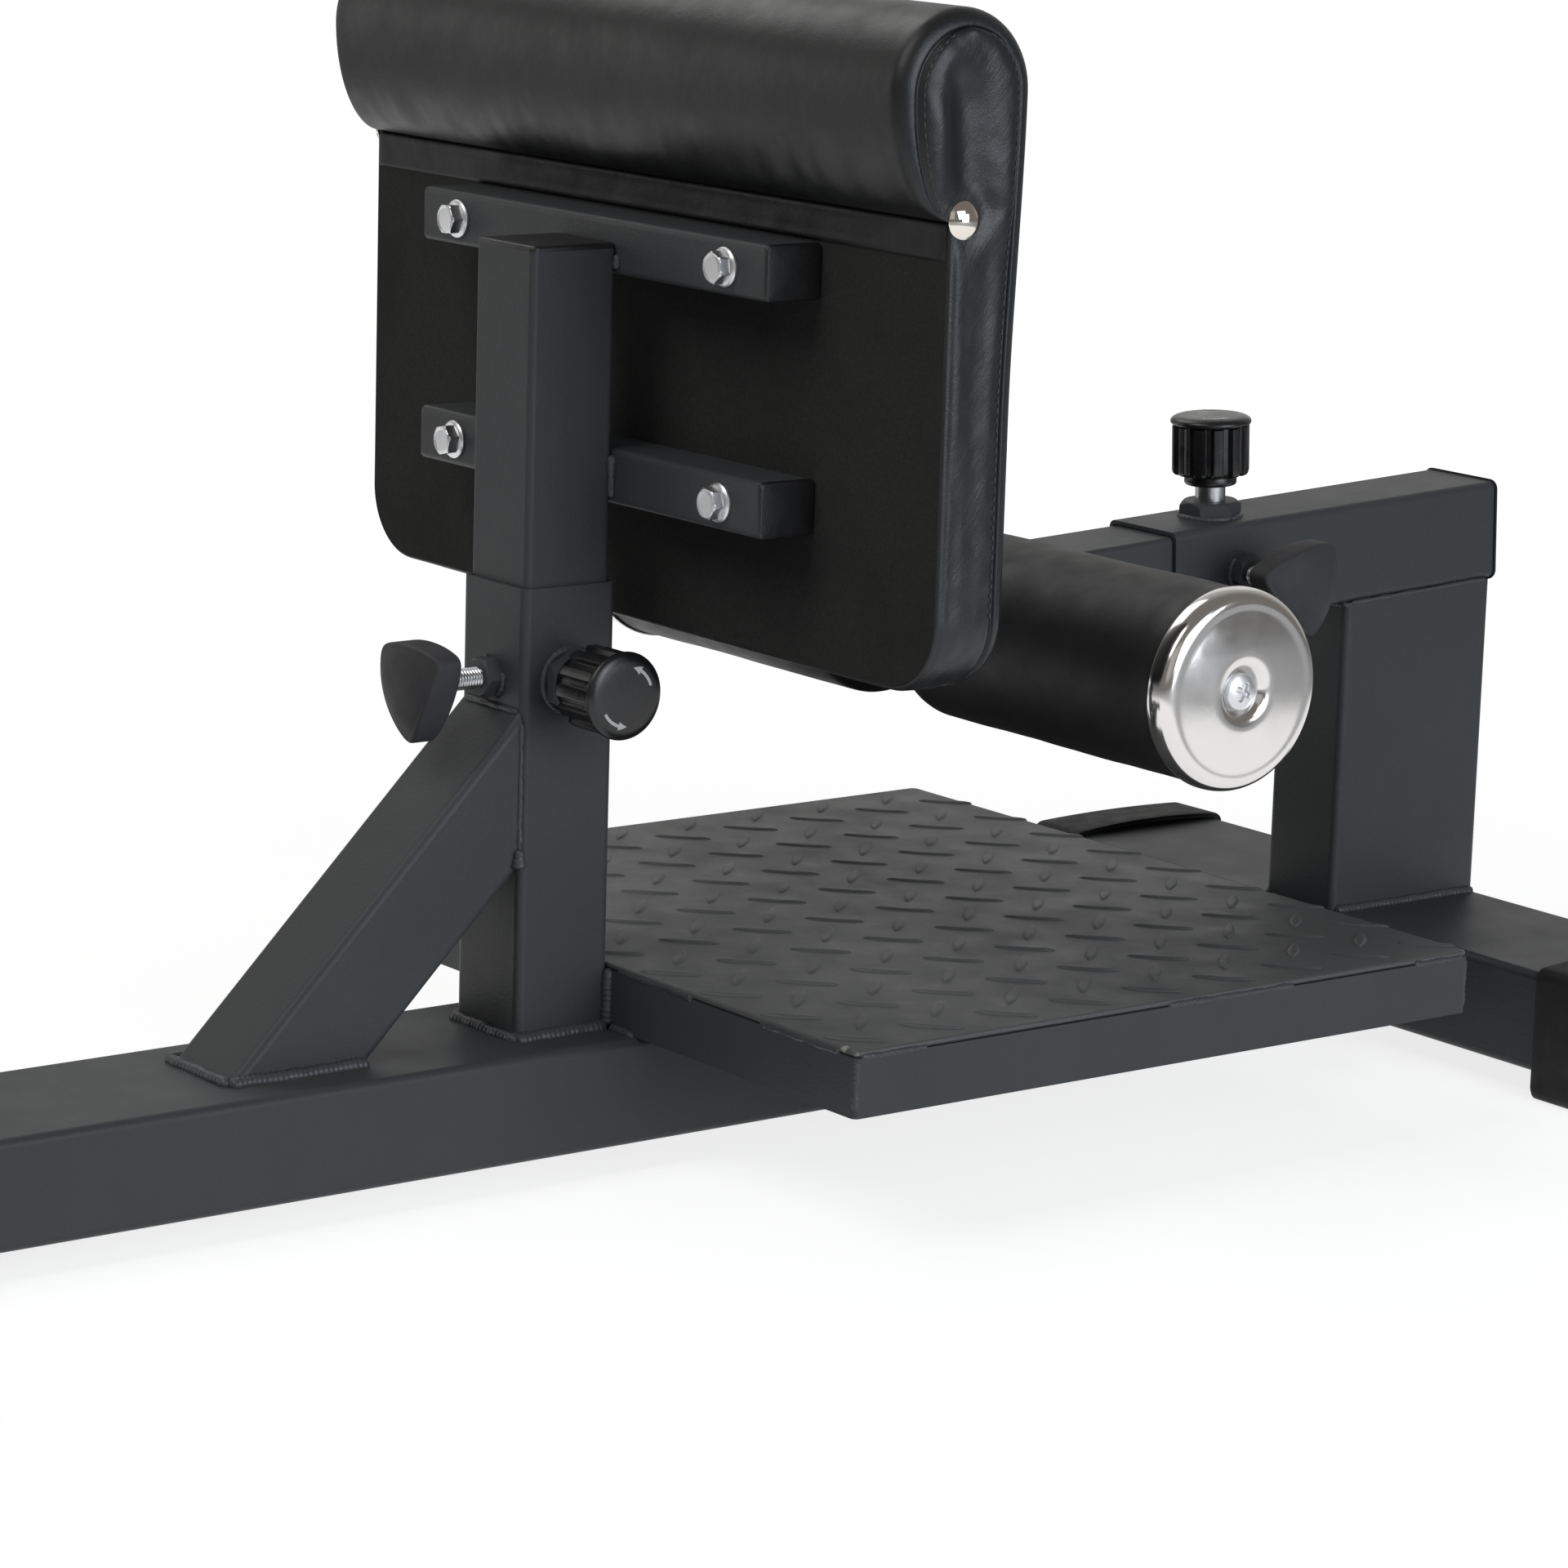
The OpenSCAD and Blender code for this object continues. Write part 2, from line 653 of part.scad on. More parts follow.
// Section of the cushion in Y and Z, from its lower back edge round the front and over the roll
front_steps = 10;
roll_steps = 18;
neck_steps = 7;
foot_steps = 4;
function smooth(t) = t * t * (3 - 2 * t);
function front_at(x, t) = front_y + crown * (1 - pow(abs(2 * x / pad_w), 4)) * sin(180 * min(1, t * 1.15))
  + (roll_y + roll_r - front_y) * smooth(max(0, t * 1.8 - 0.8));
function section(x, low) = concat(
  [[back_y + 0.5, low]],
  [for (i = [0:foot_steps]) let (a = -90 + 90 * i / foot_steps)
    [front_y - edge_r + edge_r * cos(a), low + edge_r + edge_r * sin(a)]],
  [for (i = [1:front_steps]) let (t = i / (front_steps + 1))
    [front_at(x, t), low + edge_r + (roll_z - low - edge_r) * t]],
  [for (i = [0:roll_steps]) let (a = 180 * i / roll_steps)
    [roll_y + roll_r * cos(a), roll_z + roll_r * sin(a)]],
  [for (i = [1:neck_steps]) let (t = i / neck_steps)
    [roll_y - roll_r + (back_y + 0.5 - roll_y + roll_r) * (1 - cos(90 * t)),
     roll_z - (roll_z - neck_z) * sin(90 * t)]]
);

// Moves each point of a closed section inwards by d, square to the line through its neighbours
function inset(pts, d) = [for (i = [0:len(pts) - 1])
  let (a = pts[(i + len(pts) - 1) % len(pts)], b = pts[(i + 1) % len(pts)], v = b - a)
  pts[i] + d * [-v[1], v[0]] / max(norm(v), 0.001)];

// Height that the round lower corner adds to the pad's lower edge at x
function corner_rise(x) = let (over = max(0, abs(x) - (pad_w / 2 - corner_r)))
  corner_r - sqrt(max(0, corner_r * corner_r - over * over));

// How far the section draws in towards the pad's ends
function end_inset(x) = let (over = max(0, abs(x) - (pad_w / 2 - edge_r)))
  edge_r - sqrt(max(0, edge_r * edge_r - over * over));

module cushion_body() {
  half = pad_w / 2;
  end_x = [for (a = [0, 20, 38, 55, 70]) half - edge_r + edge_r * sin(a)];
  corner_x = [for (a = [0, 22, 42]) half - corner_r + corner_r * sin(a)];
  right = concat([40, 90, 140], corner_x, end_x);
  xs = concat([for (i = [len(right) - 1:-1:0]) -right[i]], [0], right);
  rings = [for (x = xs) let (d = end_inset(x), s = inset(section(x, pad_bottom + corner_rise(x)), d))
    [for (p = s) [x, max(p[0], p[1] < neck_z ? back_y + 0.5 : p[0]), p[1]]]];
  n = len(rings[0]);
  m = len(rings);
  points = [for (ring = rings, p = ring) p];
  sides = [for (j = [0:m - 2], i = [0:n - 1]) let (k = (i + 1) % n)
    each [[j * n + i, (j + 1) * n + k, j * n + k], [j * n + i, (j + 1) * n + i, (j + 1) * n + k]]];
  ends = [[for (i = [0:n - 1]) i], [for (i = [n - 1:-1:0]) (m - 1) * n + i]];
  polyhedron(points, concat(sides, ends), convexity = 6);
}

module pad_cushion() {
  color(vinyl_black) difference() {
    cushion_body();
    upright_plate(back_y - free, back_y + board_t + free) board_outline(skin, corner_r - skin + free);
    for (x = [-1, 1], z = bracket_z) translate([x * bolt_gap / 2, back_y + board_t - eps, z])
      rotate([-90, 0, 0]) cylinder(d = bolt_d + 0.6, h = 4, $fn = 24);
    for (s = [0, 1]) mirror([s, 0, 0]) translate([pad_w / 2 - 3, back_y + board_t / 2, stud_z])
      rotate([0, 90, 0]) cylinder(d = 3.6, h = 10, $fn = 16);
  }
}

module cover_strip() {
  color(vinyl_black) upright_plate(back_y - 1.5, back_y)
    translate([-pad_w / 2 + 2, neck_z - strip_h]) square([pad_w - 4, strip_h - 0.5]);
}

// A flanged hexagon bolt along +Z, its flange's underside at z = 0 and its head below
module flange_bolt(l) {
  head_flats = bolt_d * 1.6;
  translate([0, 0, -1.2]) cylinder(d = head_flats + 5, h = 1.2);
  translate([0, 0, -2.4]) cylinder(d1 = head_flats + 1, d2 = head_flats + 5, h = 1.2);
  intersection() {
    translate([0, 0, -bolt_d]) cylinder(d = head_flats / cos(30), h = bolt_d - 1, $fn = 6);
    translate([0, 0, -bolt_d]) cylinder(r1 = head_flats / 2 - 0.4, r2 = head_flats / 2 + bolt_d, h = bolt_d);
  }
  translate([0, 0, -1]) cylinder(d = bolt_d, h = l + 1);
}

module pad_bolts() {
  color(zinc) for (x = [-1, 1], z = bracket_z)
    translate([x * bolt_gap / 2, back_y - bracket_d, z]) rotate([-90, 0, 0])
    flange_bolt(bracket_d + board_t + 0.5);
}

// Nuts with a barrel and a flange, pressed into the board from the front
module tee_nuts() {
  color(zinc) for (x = [-1, 1], z = bracket_z)
    translate([x * bolt_gap / 2, back_y, z]) rotate([-90, 0, 0]) difference() {
      union() {
        translate([0, 0, 4]) cylinder(d = bolt_d + 2, h = board_t - 4.5);
        translate([0, 0, board_t - nut_flange_t - 0.1]) cylinder(d = nut_flange_d, h = nut_flange_t);
      }
      translate([0, 0, 3]) cylinder(d = bolt_d + 2 * fit, h = board_t);
    }
}

module side_studs() {
  dome_h = stud_d * 0.24;
  ball_r = (stud_d * stud_d / 4 + dome_h * dome_h) / (2 * dome_h);
  color(chrome) for (s = [0, 1]) mirror([s, 0, 0])
    translate([pad_w / 2 + 0.1, back_y + board_t / 2, stud_z]) rotate([0, 90, 0]) {
      intersection() {
        cylinder(d = stud_d, h = dome_h);
        translate([0, 0, dome_h - ball_r]) sphere(r = ball_r);
      }
      translate([0, 0, -18]) cylinder(d = 3, h = 18.5);
    }
}

// Arm and rollers, in the arm's frame

module arm_tube() {
  color(steel_black) difference() {
    on_arm() translate([0, axle_y - arm_nose, 0]) rotate([-90, 0, 0])
      box_tube(arm_w, arm_w, arm_nose + arm_out + arm_in, slide_wall, slide_r);
    on_arm() translate([-arm_w, axle_y, 0]) rotate([0, 90, 0])
      cylinder(d = axle_d + 2 * fit, h = 2 * arm_w);
    for (i = [-1:arm_steps_out]) on_arm()
      translate([0, sleeve_lock_in + i * arm_step, arm_w / 2 - slide_wall - eps / 2])
      cylinder(d = nose_d + 2 * pin_play, h = slide_wall + eps);
  }
}

module arm_end_cap() {
  color(plastic_black) on_arm() translate([0, axle_y - arm_nose, 0]) rotate([90, 0, 0]) {
    linear_extrude(plug_t) round_rect(arm_w, arm_w, slide_r);
    translate([0, 0, -4]) linear_extrude(4 + eps)
      round_rect(arm_w - 2 * slide_wall - 0.2, arm_w - 2 * slide_wall - 0.2, 1);
  }
}

// Frame of the roller axle on one side of the arm: Z outwards along the axle
module at_axle(side) {
  on_arm() translate([0, axle_y, 0]) mirror([side < 0 ? 1 : 0, 0, 0]) rotate([0, 90, 0]) children();
}

module axle_tube() {
  color(zinc) at_axle(1) translate([0, 0, -axle_end]) difference() {
    cylinder(d = axle_d, h = 2 * axle_end);
    translate([0, 0, -eps]) cylinder(d = axle_d - 2 * axle_wall, h = 2 * axle_end + 2 * eps);
  }
}

module axle_plugs() {
  color(zinc) for (side = [-1, 1]) at_axle(side) translate([0, 0, axle_end - axle_plug_l]) difference() {
    cylinder(d = axle_d - 2 * axle_wall - 2 * fit, h = axle_plug_l);
    translate([0, 0, -eps]) cylinder(d = screw_d + 2 * fit, h = axle_plug_l + 2 * eps);
  }
}

module roller_washers() {
  color(zinc) for (side = [-1, 1]) at_axle(side) translate([0, 0, arm_w / 2 + 0.1]) difference() {
    cylinder(d = axle_d + 14, h = washer_t);
    translate([0, 0, -eps]) cylinder(d = axle_d + 4 * fit, h = washer_t + 2 * eps);
  }
}

module roller_liner(side) {
  color(plastic_black) at_axle(side) translate([0, 0, liner_in]) difference() {
    cylinder(r = foam_bore, h = roller_l);
    translate([0, 0, -eps]) cylinder(d = axle_d + 3 * fit, h = roller_l + 2 * eps);
  }
}

// Foam sleeve with a soft round edge at its inner end
module foam_roller(side) {
  soft_r = 12;
  hard_r = 4;
  foam_l = roller_l - 1;
  r = roller_d / 2;
  color(rubber_black) at_axle(side) translate([0, 0, liner_in + 0.5]) rotate_extrude() difference() {
    union() {
      translate([0, soft_r]) square([r, foam_l - soft_r - hard_r]);
      square([r - soft_r, foam_l]);
      translate([0, foam_l - hard_r - eps]) square([r - hard_r, hard_r + eps]);
      translate([r - soft_r, soft_r]) circle(r = soft_r);
      translate([r - hard_r, foam_l - hard_r]) circle(r = hard_r);
    }
    translate([-eps, -eps]) square([foam_bore + fit + eps, foam_l + 2 * eps]);
  }
}

// A pressed cap over a roller's outer end: a rolled edge and a hollow round its screw
module roller_cap(side) {
  bead = end_cap_bead;
  face_h = end_cap_t + end_cap_hollow;
  seat_r = 9.2;
  color(chrome) at_axle(side) translate([0, 0, axle_end]) rotate_extrude() difference() {
    union() {
      polygon([
        [0, 0], [cap_r - bead, 0], [cap_r - bead, bead], [seat_r + 4, face_h],
        [seat_r, end_cap_t], [0, end_cap_t]
      ]);
      translate([cap_r - bead, 0]) circle(r = bead);
      translate([cap_r - bead, -end_cap_rim]) square([bead, end_cap_rim]);
    }
    translate([-eps, -eps]) square([screw_d / 2 + 0.2 + eps, 4]);
    translate([0, -end_cap_rim - eps]) square([cap_r - end_cap_t, end_cap_rim + eps]);
    translate([-eps, -30]) square([cap_r + 9, 30 - end_cap_rim]);
  }
}

// Screws with a low round head and a cross recess
module cap_screws() {
  head_r = 8.5;
  head_h = 5;
  ball_r = (head_r * head_r + head_h * head_h) / (2 * head_h);
  color(zinc) for (side = [-1, 1]) at_axle(side) translate([0, 0, axle_end + end_cap_t]) difference() {
    union() {
      intersection() {
        cylinder(r = head_r, h = head_h);
        translate([0, 0, head_h - ball_r]) sphere(r = ball_r);
      }
      translate([0, 0, -axle_plug_l]) cylinder(d = screw_d, h = axle_plug_l + 1);
    }
    for (a = [0, 90]) rotate(a) translate([-4, -0.8, head_h - 2.4]) cube([8, 1.6, 4]);
  }
}

base_beam();
front_cross_tube();
tail_cross_tube();
front_foot_left();
front_foot_right();
tail_foot_left();
tail_foot_right();
outer_post();
brace();
plate_rim();
plate_ribs();
tread_plate();
front_upright();
arm_sleeve();
sleeve_end_cap();
at_post_pin() boss();  // post_pin_boss
at_sleeve_pin() boss();  // sleeve_pin_boss
at_post_clamp() clamp_nut();  // post_clamp_nut
at_sleeve_clamp() clamp_nut();  // sleeve_clamp_nut
inner_post();
inner_post_cap();
upper_bracket();
lower_bracket();
bracket_end_caps();
pad_board();
pad_cushion();
cover_strip();
pad_bolts();
tee_nuts();
side_studs();
arm_tube();
arm_end_cap();
axle_tube();
axle_plugs();
roller_washers();
roller_cap(-1);  // roller_cap_left
roller_cap(1);  // roller_cap_right
cap_screws();
foam_roller(-1);  // foam_roller_left
roller_liner(-1);  // roller_liner_left
foam_roller(1);  // foam_roller_right
roller_liner(1);  // roller_liner_right
at_post_pin() pin_barrel(post_knob_lift);  // post_pin_barrel
at_post_pin() pull_pin(post_knob_lift);  // post_pin
at_post_pin() pin_spring(post_knob_lift);  // post_pin_spring
at_post_pin() pull_knob(post_knob_lift);  // post_pin_knob
at_post_pin() knob_cap(post_knob_lift);  // post_pin_cap
at_sleeve_pin() pin_barrel(sleeve_knob_lift);  // sleeve_pin_barrel
at_sleeve_pin() pull_pin(sleeve_knob_lift);  // sleeve_pin
at_sleeve_pin() pin_spring(sleeve_knob_lift);  // sleeve_pin_spring
at_sleeve_pin() pull_knob(sleeve_knob_lift);  // sleeve_pin_knob
at_sleeve_pin() knob_cap(sleeve_knob_lift);  // sleeve_pin_cap
at_post_clamp() clamp_screw();  // post_clamp_screw
at_post_clamp() clamp_knob();  // post_clamp_knob
at_sleeve_clamp() clamp_screw();  // sleeve_clamp_screw
at_sleeve_clamp() clamp_knob();  // sleeve_clamp_knob
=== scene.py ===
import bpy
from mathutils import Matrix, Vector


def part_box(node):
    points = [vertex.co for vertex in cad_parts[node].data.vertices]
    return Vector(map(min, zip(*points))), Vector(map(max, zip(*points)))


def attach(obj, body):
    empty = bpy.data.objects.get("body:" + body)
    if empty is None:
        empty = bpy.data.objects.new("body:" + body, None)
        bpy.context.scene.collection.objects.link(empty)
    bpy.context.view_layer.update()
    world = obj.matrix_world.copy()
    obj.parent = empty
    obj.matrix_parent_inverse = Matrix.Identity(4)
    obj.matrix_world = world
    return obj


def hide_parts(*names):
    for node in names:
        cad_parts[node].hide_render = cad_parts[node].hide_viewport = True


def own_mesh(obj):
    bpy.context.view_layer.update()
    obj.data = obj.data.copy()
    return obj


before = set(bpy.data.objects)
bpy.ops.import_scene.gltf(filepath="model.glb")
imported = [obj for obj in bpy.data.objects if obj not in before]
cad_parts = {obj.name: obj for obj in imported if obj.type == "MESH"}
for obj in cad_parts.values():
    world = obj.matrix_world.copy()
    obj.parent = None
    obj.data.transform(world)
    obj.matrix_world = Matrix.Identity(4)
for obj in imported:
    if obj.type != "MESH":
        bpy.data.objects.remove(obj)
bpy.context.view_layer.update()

from math import asin, copysign, cos, exp, hypot, pi, radians, sin, sqrt, tan

import bmesh
import bpy
import numpy as np
from mathutils import Matrix, Vector, noise
from mathutils.geometry import tessellate_polygon

# Sissy squat bench. Shapes are worked out in millimetres, in the frame's axes, and written to the
# meshes in metres.
MM = 0.001
SCENE = bpy.context.scene


def span(node):
    """Lowest and highest corner of a node, in millimetres."""
    lo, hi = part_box(node)
    return np.array(lo) / MM, np.array(hi) / MM


def add_object(name, data):
    made = bpy.data.objects.new(name, data)
    SCENE.collection.objects.link(made)
    return made


# Camera and studio

def direction(azimuth, elevation):
    """Where something looks or shines from, as a direction."""
    a, e = radians(azimuth), radians(elevation)
    return Vector((sin(a) * cos(e), -cos(a) * cos(e), sin(e)))


def make_camera():
    """The camera that the photograph was fitted with."""
    back, roll = direction(52.599, 11.976), radians(1.7)
    target, distance = Vector((0, 0.1171014, 0.1598125)), 2.5357813
    sensor_mm, focal_px, picture_px = 36, 6594.266, 1920
    right = (-back).cross(Vector((0, 0, 1))).normalized()
    up = back.cross(right)
    right, up = (cos(roll) * right + sin(roll) * up,
        cos(roll) * up - sin(roll) * right)
    data = bpy.data.cameras.new("camera")
    data.sensor_width = sensor_mm
    data.lens = sensor_mm * focal_px / picture_px
    data.clip_start, data.clip_end = 0.05, 100
    SCENE.camera = add_object("camera", data)
    place = target + back * distance
    SCENE.camera.matrix_world = Matrix((*zip(right, up, back, place), (0, 0, 0, 1)))


make_camera()

COOL, PLAIN = (0.94, 0.99, 1.07), (1, 0.99, 0.98)
LAMP_DISTANCE, LAMP_SIZE = 3.2, 1.8
LAMP_AIM = Vector((0, 0.05, 0.2))
LAMPS = [   # name, azimuth and elevation of the direction it shines from, power, colour
    ("lamp_right_low", 105, 8, 35, COOL),
    ("lamp_right", 90, 22, 20, COOL),
    ("lamp_near", 45, 22, 3, PLAIN),
    ("lamp_left_low", 300, 8, 9, PLAIN),
    ("lamp_front_high", 0, 50, 32, PLAIN),
    ("lamp_far", 225, 22, 3, PLAIN),
    ("lamp_left_high", 270, 50, 17, PLAIN),
]
for name, azimuth, elevation, power, colour in LAMPS:
    back = direction(azimuth, elevation)
    lamp = add_object(name, bpy.data.lights.new(name, "AREA"))
    lamp.data.shape = "RECTANGLE"
    lamp.data.size = lamp.data.size_y = LAMP_SIZE
    lamp.data.energy, lamp.data.color = power, colour
    lamp.location = LAMP_AIM + back * LAMP_DISTANCE
    lamp.rotation_mode = "QUATERNION"
    lamp.rotation_quaternion = (-back).to_track_quat("-Z", "Y")


class Nodes:
    """Adds nodes to a tree. A value is a number, or the socket to link."""

    def __init__(self, tree):
        self.tree = tree

    def put(self, value, socket):
        if isinstance(value, bpy.types.NodeSocket):
            self.tree.links.new(value, socket)
        else:
            socket.default_value = value

    def node(self, kind, *values, operation=None, **sockets):
        made = self.tree.nodes.new("ShaderNode" + kind)
        if operation:
            made.operation = operation
        for socket, value in zip(made.inputs, values):
            self.put(value, socket)
        for key, value in sockets.items():
            self.put(value, made.inputs[key.replace("_", " ")])
        return made

    def math(self, operation, *values):
        return self.node("Math", *values, operation=operation).outputs[0]

    def vector(self, operation, *values):
        return self.node("VectorMath", *values, operation=operation).outputs["Value"]

    def ranged(self, value, low, high, to_low, to_high, soft=False):
        made = self.node("MapRange", value, low, high, to_low, to_high)
        if soft:
            made.interpolation_type = "SMOOTHSTEP"
        return made.outputs["Result"]

    def rays(self):
        """1 for the rays that see the backdrop itself, the camera's and those through glass; and
        1 for the rays that gloss sends out."""
        path = self.node("LightPath").outputs
        plain = self.math("MAXIMUM", path["Is Camera Ray"], path["Is Transmission Ray"])
        return plain, path["Is Glossy Ray"]


WHITE = (1, 1, 1)
WORLD_LIGHT, WORLD_COLOUR = 0.02, (0.96, 0.98, 1)
ROOM = (0.20, 0.186, 0.172)         # what gloss sees over the horizon
SCREEN = (0.48, 0.48, 0.47)         # and behind the bench
SCREEN_WAY = (-0.794, 0.607, 0)
FLOOR_COLOUR, FLOOR_WHITE = 0.45, 0.80
SHEET = (1.12, 1.42, 0.85, 0.16)    # white sheet in gloss: where it fades, and its levels
SHOWN = (0.7, 2.6, FLOOR_WHITE, 1)  # the floor's glow to the camera, likewise


def make_world():
    SCENE.world = bpy.data.worlds.new("studio")
    SCENE.world.use_nodes = True
    SCENE.world.node_tree.nodes.clear()
    n = Nodes(SCENE.world.node_tree)
    plain, gloss = n.rays()
    away = n.vector("DOT_PRODUCT", n.node("TexCoord").outputs["Generated"], SCREEN_WAY)
    screen = n.math("MULTIPLY", n.ranged(away, 0.25, 0.85, 0, 1, soft=True), gloss)
    last = n.node("Background", (*WORLD_COLOUR, 1), WORLD_LIGHT).outputs[0]
    for colour, factor in ((ROOM, gloss), (SCREEN, screen), (WHITE, plain)):
        made = n.node("Background", (*colour, 1), 1).outputs[0]
        last = n.node("MixShader", factor, last, made).outputs[0]
    n.node("OutputWorld", last)


def make_floor(reach=40):
    mesh = bpy.data.meshes.new("floor")
    mesh.from_pydata([(-reach, -reach, 0), (reach, -reach, 0), (reach, reach, 0), (-reach, reach, 0)],
        [], [(0, 1, 2, 3)])
    floor = add_object("floor", mesh)
    material = bpy.data.materials.new("floor")
    material.use_nodes = True
    material.node_tree.nodes.clear()
    n = Nodes(material.node_tree)
    plain, gloss = n.rays()
    far = n.vector("LENGTH", n.node("TexCoord").outputs["Object"])
    level = n.math("ADD", n.math("MULTIPLY", plain, n.ranged(far, *SHOWN, soft=True)),
        n.math("MULTIPLY", gloss, n.ranged(far, *SHEET, soft=True)))
    diffuse = n.node("BsdfDiffuse", (FLOOR_COLOUR, FLOOR_COLOUR, FLOOR_COLOUR, 1)).outputs[0]
    glow = n.node("Emission", (*WHITE, 1), level).outputs[0]
    n.node("OutputMaterial", n.node("AddShader", diffuse, glow).outputs[0])
    mesh.materials.append(material)


make_world()
make_floor()
SCENE.view_settings.view_transform = "Standard"


# Materials. Colours are screen colours from 0 to 255, lengths are metres.

def shade(base):
    """Linear colour of a screen colour."""
    return [v / 255 / 12.92 if v / 255 <= 0.04045 else ((v / 255 + 0.055) / 1.055) ** 2.4 for v in base]


class Maker(Nodes):
    """A material on the Principled shader, on the object's own coordinates."""

    def __init__(self, name, base, rough, metallic=0, specular=0.5):
        self.material = bpy.data.materials.new(name)
        self.material.use_nodes = True
        super().__init__(self.material.node_tree)
        self.shader = self.tree.nodes["Principled BSDF"].inputs
        self.material.diffuse_color = (*shade(base), 1)
        for key, value in (("Base Color", (*shade(base), 1)), ("Roughness", rough),
                ("Metallic", metallic), ("Specular IOR Level", specular)):
            self.shader[key].default_value = value
        self.place = self.node("TexCoord").outputs["Object"]
        self.normal = None

    def scaled(self, x, y, z, turn=(0, 0, 0)):
        mapping = self.node("Mapping", self.place, Rotation=turn, Scale=(1 / x, 1 / y, 1 / z))
        mapping.vector_type = "TEXTURE"
        return mapping.outputs[0]

    def noise(self, scale, detail=2, rough=0.5, place=None):
        return self.node("TexNoise", Vector=place or self.place, Scale=scale, Detail=detail,
            Roughness=rough).outputs["Fac"]

    def vary(self, scale, detail, rough, *window):
        """Noise, mapped from a range to another."""
        return self.ranged(self.noise(scale, detail, rough), *window)

    def tint(self, factor, base, times=1):
        """Mixes another colour over what the base colour has so far."""
        made = self.tree.nodes.new("ShaderNodeMix")
        made.data_type = "RGBA"
        socket = self.shader["Base Color"]
        so_far = socket.links[0].from_socket if socket.is_linked else socket.default_value
        self.put(so_far, made.inputs["A"])
        made.inputs["B"].default_value = (*[min(1, v * times) for v in shade(base)], 1)
        self.put(factor, made.inputs["Factor"])
        self.put(made.outputs["Result"], socket)

    def gloss(self, *window):
        self.put(self.vary(*window), self.shader["Roughness"])

    def bump(self, height, strength, distance):
        made = self.node("Bump", Strength=strength, Distance=distance, Height=height)
        if self.normal is not None:
            self.put(self.normal, made.inputs["Normal"])
        self.normal = made.outputs["Normal"]
        self.put(self.normal, self.shader["Normal"])


def vinyl(name, base, rough, crease):
    m = Maker(name, base, rough, specular=0.42)
    m.tint(m.vary(14, 2, 0.5, 0.4, 0.7, 0, 0.5), base, 0.75)
    m.gloss(55, 3, 0.6, 0.3, 0.7, rough - 0.05, rough + 0.07)
    grain = m.node("TexVoronoi", Vector=m.place, Scale=620)
    grain.feature = "DISTANCE_TO_EDGE"
    m.bump(m.math("MINIMUM", grain.outputs["Distance"], 0.18), 0.3, 0.0004)
    if crease:
        m.bump(m.noise(1, 4, 0.6, m.scaled(120, 60, 240, (0.95, 0, 0))), crease, 0.0016)
    m.bump(m.noise(38, 3, 0.55), 0.25, 0.002)
    return m.material


def metal(name, base, rough, specks=0):
    m = Maker(name, base, rough, metallic=1)
    m.gloss(70, 4, 0.65, 0.3, 0.75, rough * 0.8, rough * 1.3 + 0.02)
    if specks:
        m.tint(m.vary(500, 3, 0.6, 0.55, 0.75, 0, specks), base, 0.6)
    m.bump(m.noise(260), 0.05, 0.0003)
    return m.material


def plastic(name, base, rough, fine=1400, strength=0.12, specular=0.5):
    m = Maker(name, base, rough, specular=specular)
    m.tint(m.vary(40, 3, 0.6, 0.45, 0.75, 0, 0.5), base, 1.5)
    m.gloss(90, 3, 0.6, 0.3, 0.7, max(0.08, rough - 0.06), rough + 0.08)
    m.bump(m.noise(fine), strength, 0.0003)
    return m.material


base, rough = (68, 70, 72), 0.46
m = Maker("powder_coat", base, rough, specular=0.28)
m.tint(m.vary(9, 3, 0.55, 0.35, 0.72, 0.08, 0.42), base, 0.72)
m.tint(m.vary(1300, 2, 0.6, 0.5, 0.8, 0, 0.4), base, 1.5)
m.gloss(30, 4, 0.6, 0.3, 0.7, rough - 0.03, rough + 0.05)
m.bump(m.noise(620), 0.22, 0.0006)
m.bump(m.noise(2200, 1), 0.12, 0.0002)
COAT = m.material

m = Maker("weld_coat", (74, 76, 79), 0.36, specular=0.35)
m.tint(m.vary(60, 3, 0.6, 0.4, 0.7, 0, 0.5), (58, 60, 63))
m.gloss(120, 3, 0.6, 0.3, 0.7, 0.3, 0.46)
m.bump(m.noise(420, 3, 0.6), 0.4, 0.0005)
WELD = m.material

m = Maker("tread_coat", (87, 88, 88), 0.5, specular=0.45)
m.tint(m.vary(12, 3, 0.6, 0.35, 0.7, 0, 0.3), (78, 79, 80))
m.tint(m.vary(1500, 2, 0.6, 0.52, 0.8, 0, 0.4), (98, 100, 103))
chip = 0.006
for corner in ((0.209, 0, 0.091), (0.209, 0.365, 0.092), (0.2, 0.001, 0.093)):
    ragged = m.math("ADD", m.vector("DISTANCE", m.place, corner),
        m.math("MULTIPLY", m.noise(420, 3), chip))
    m.tint(m.ranged(ragged, chip * 0.95, chip * 0.75, 0, 0.85), (176, 174, 168))
m.gloss(40, 4, 0.6, 0.3, 0.7, 0.44, 0.6)
m.bump(m.noise(700), 0.25, 0.0006)
TREAD = m.material

m = Maker("board_cloth", (54, 54, 53), 0.9, specular=0.12)
across, along = (m.node("TexWave", m.scaled(1, 1, 1, (0, turn, 0)), 820, 0).outputs["Fac"]
    for turn in (0, radians(90)))
m.tint(m.vary(700, 3, 0.7, 0.4, 0.75, 0, 0.6), (68, 68, 67))
m.tint(m.vary(18, 3, 0.6, 0.45, 0.75, 0, 0.4), (36, 36, 36))
m.bump(m.math("MULTIPLY", across, along), 0.35, 0.0004)
m.bump(m.noise(900, 2, 0.6), 0.3, 0.0004)
CLOTH = m.material

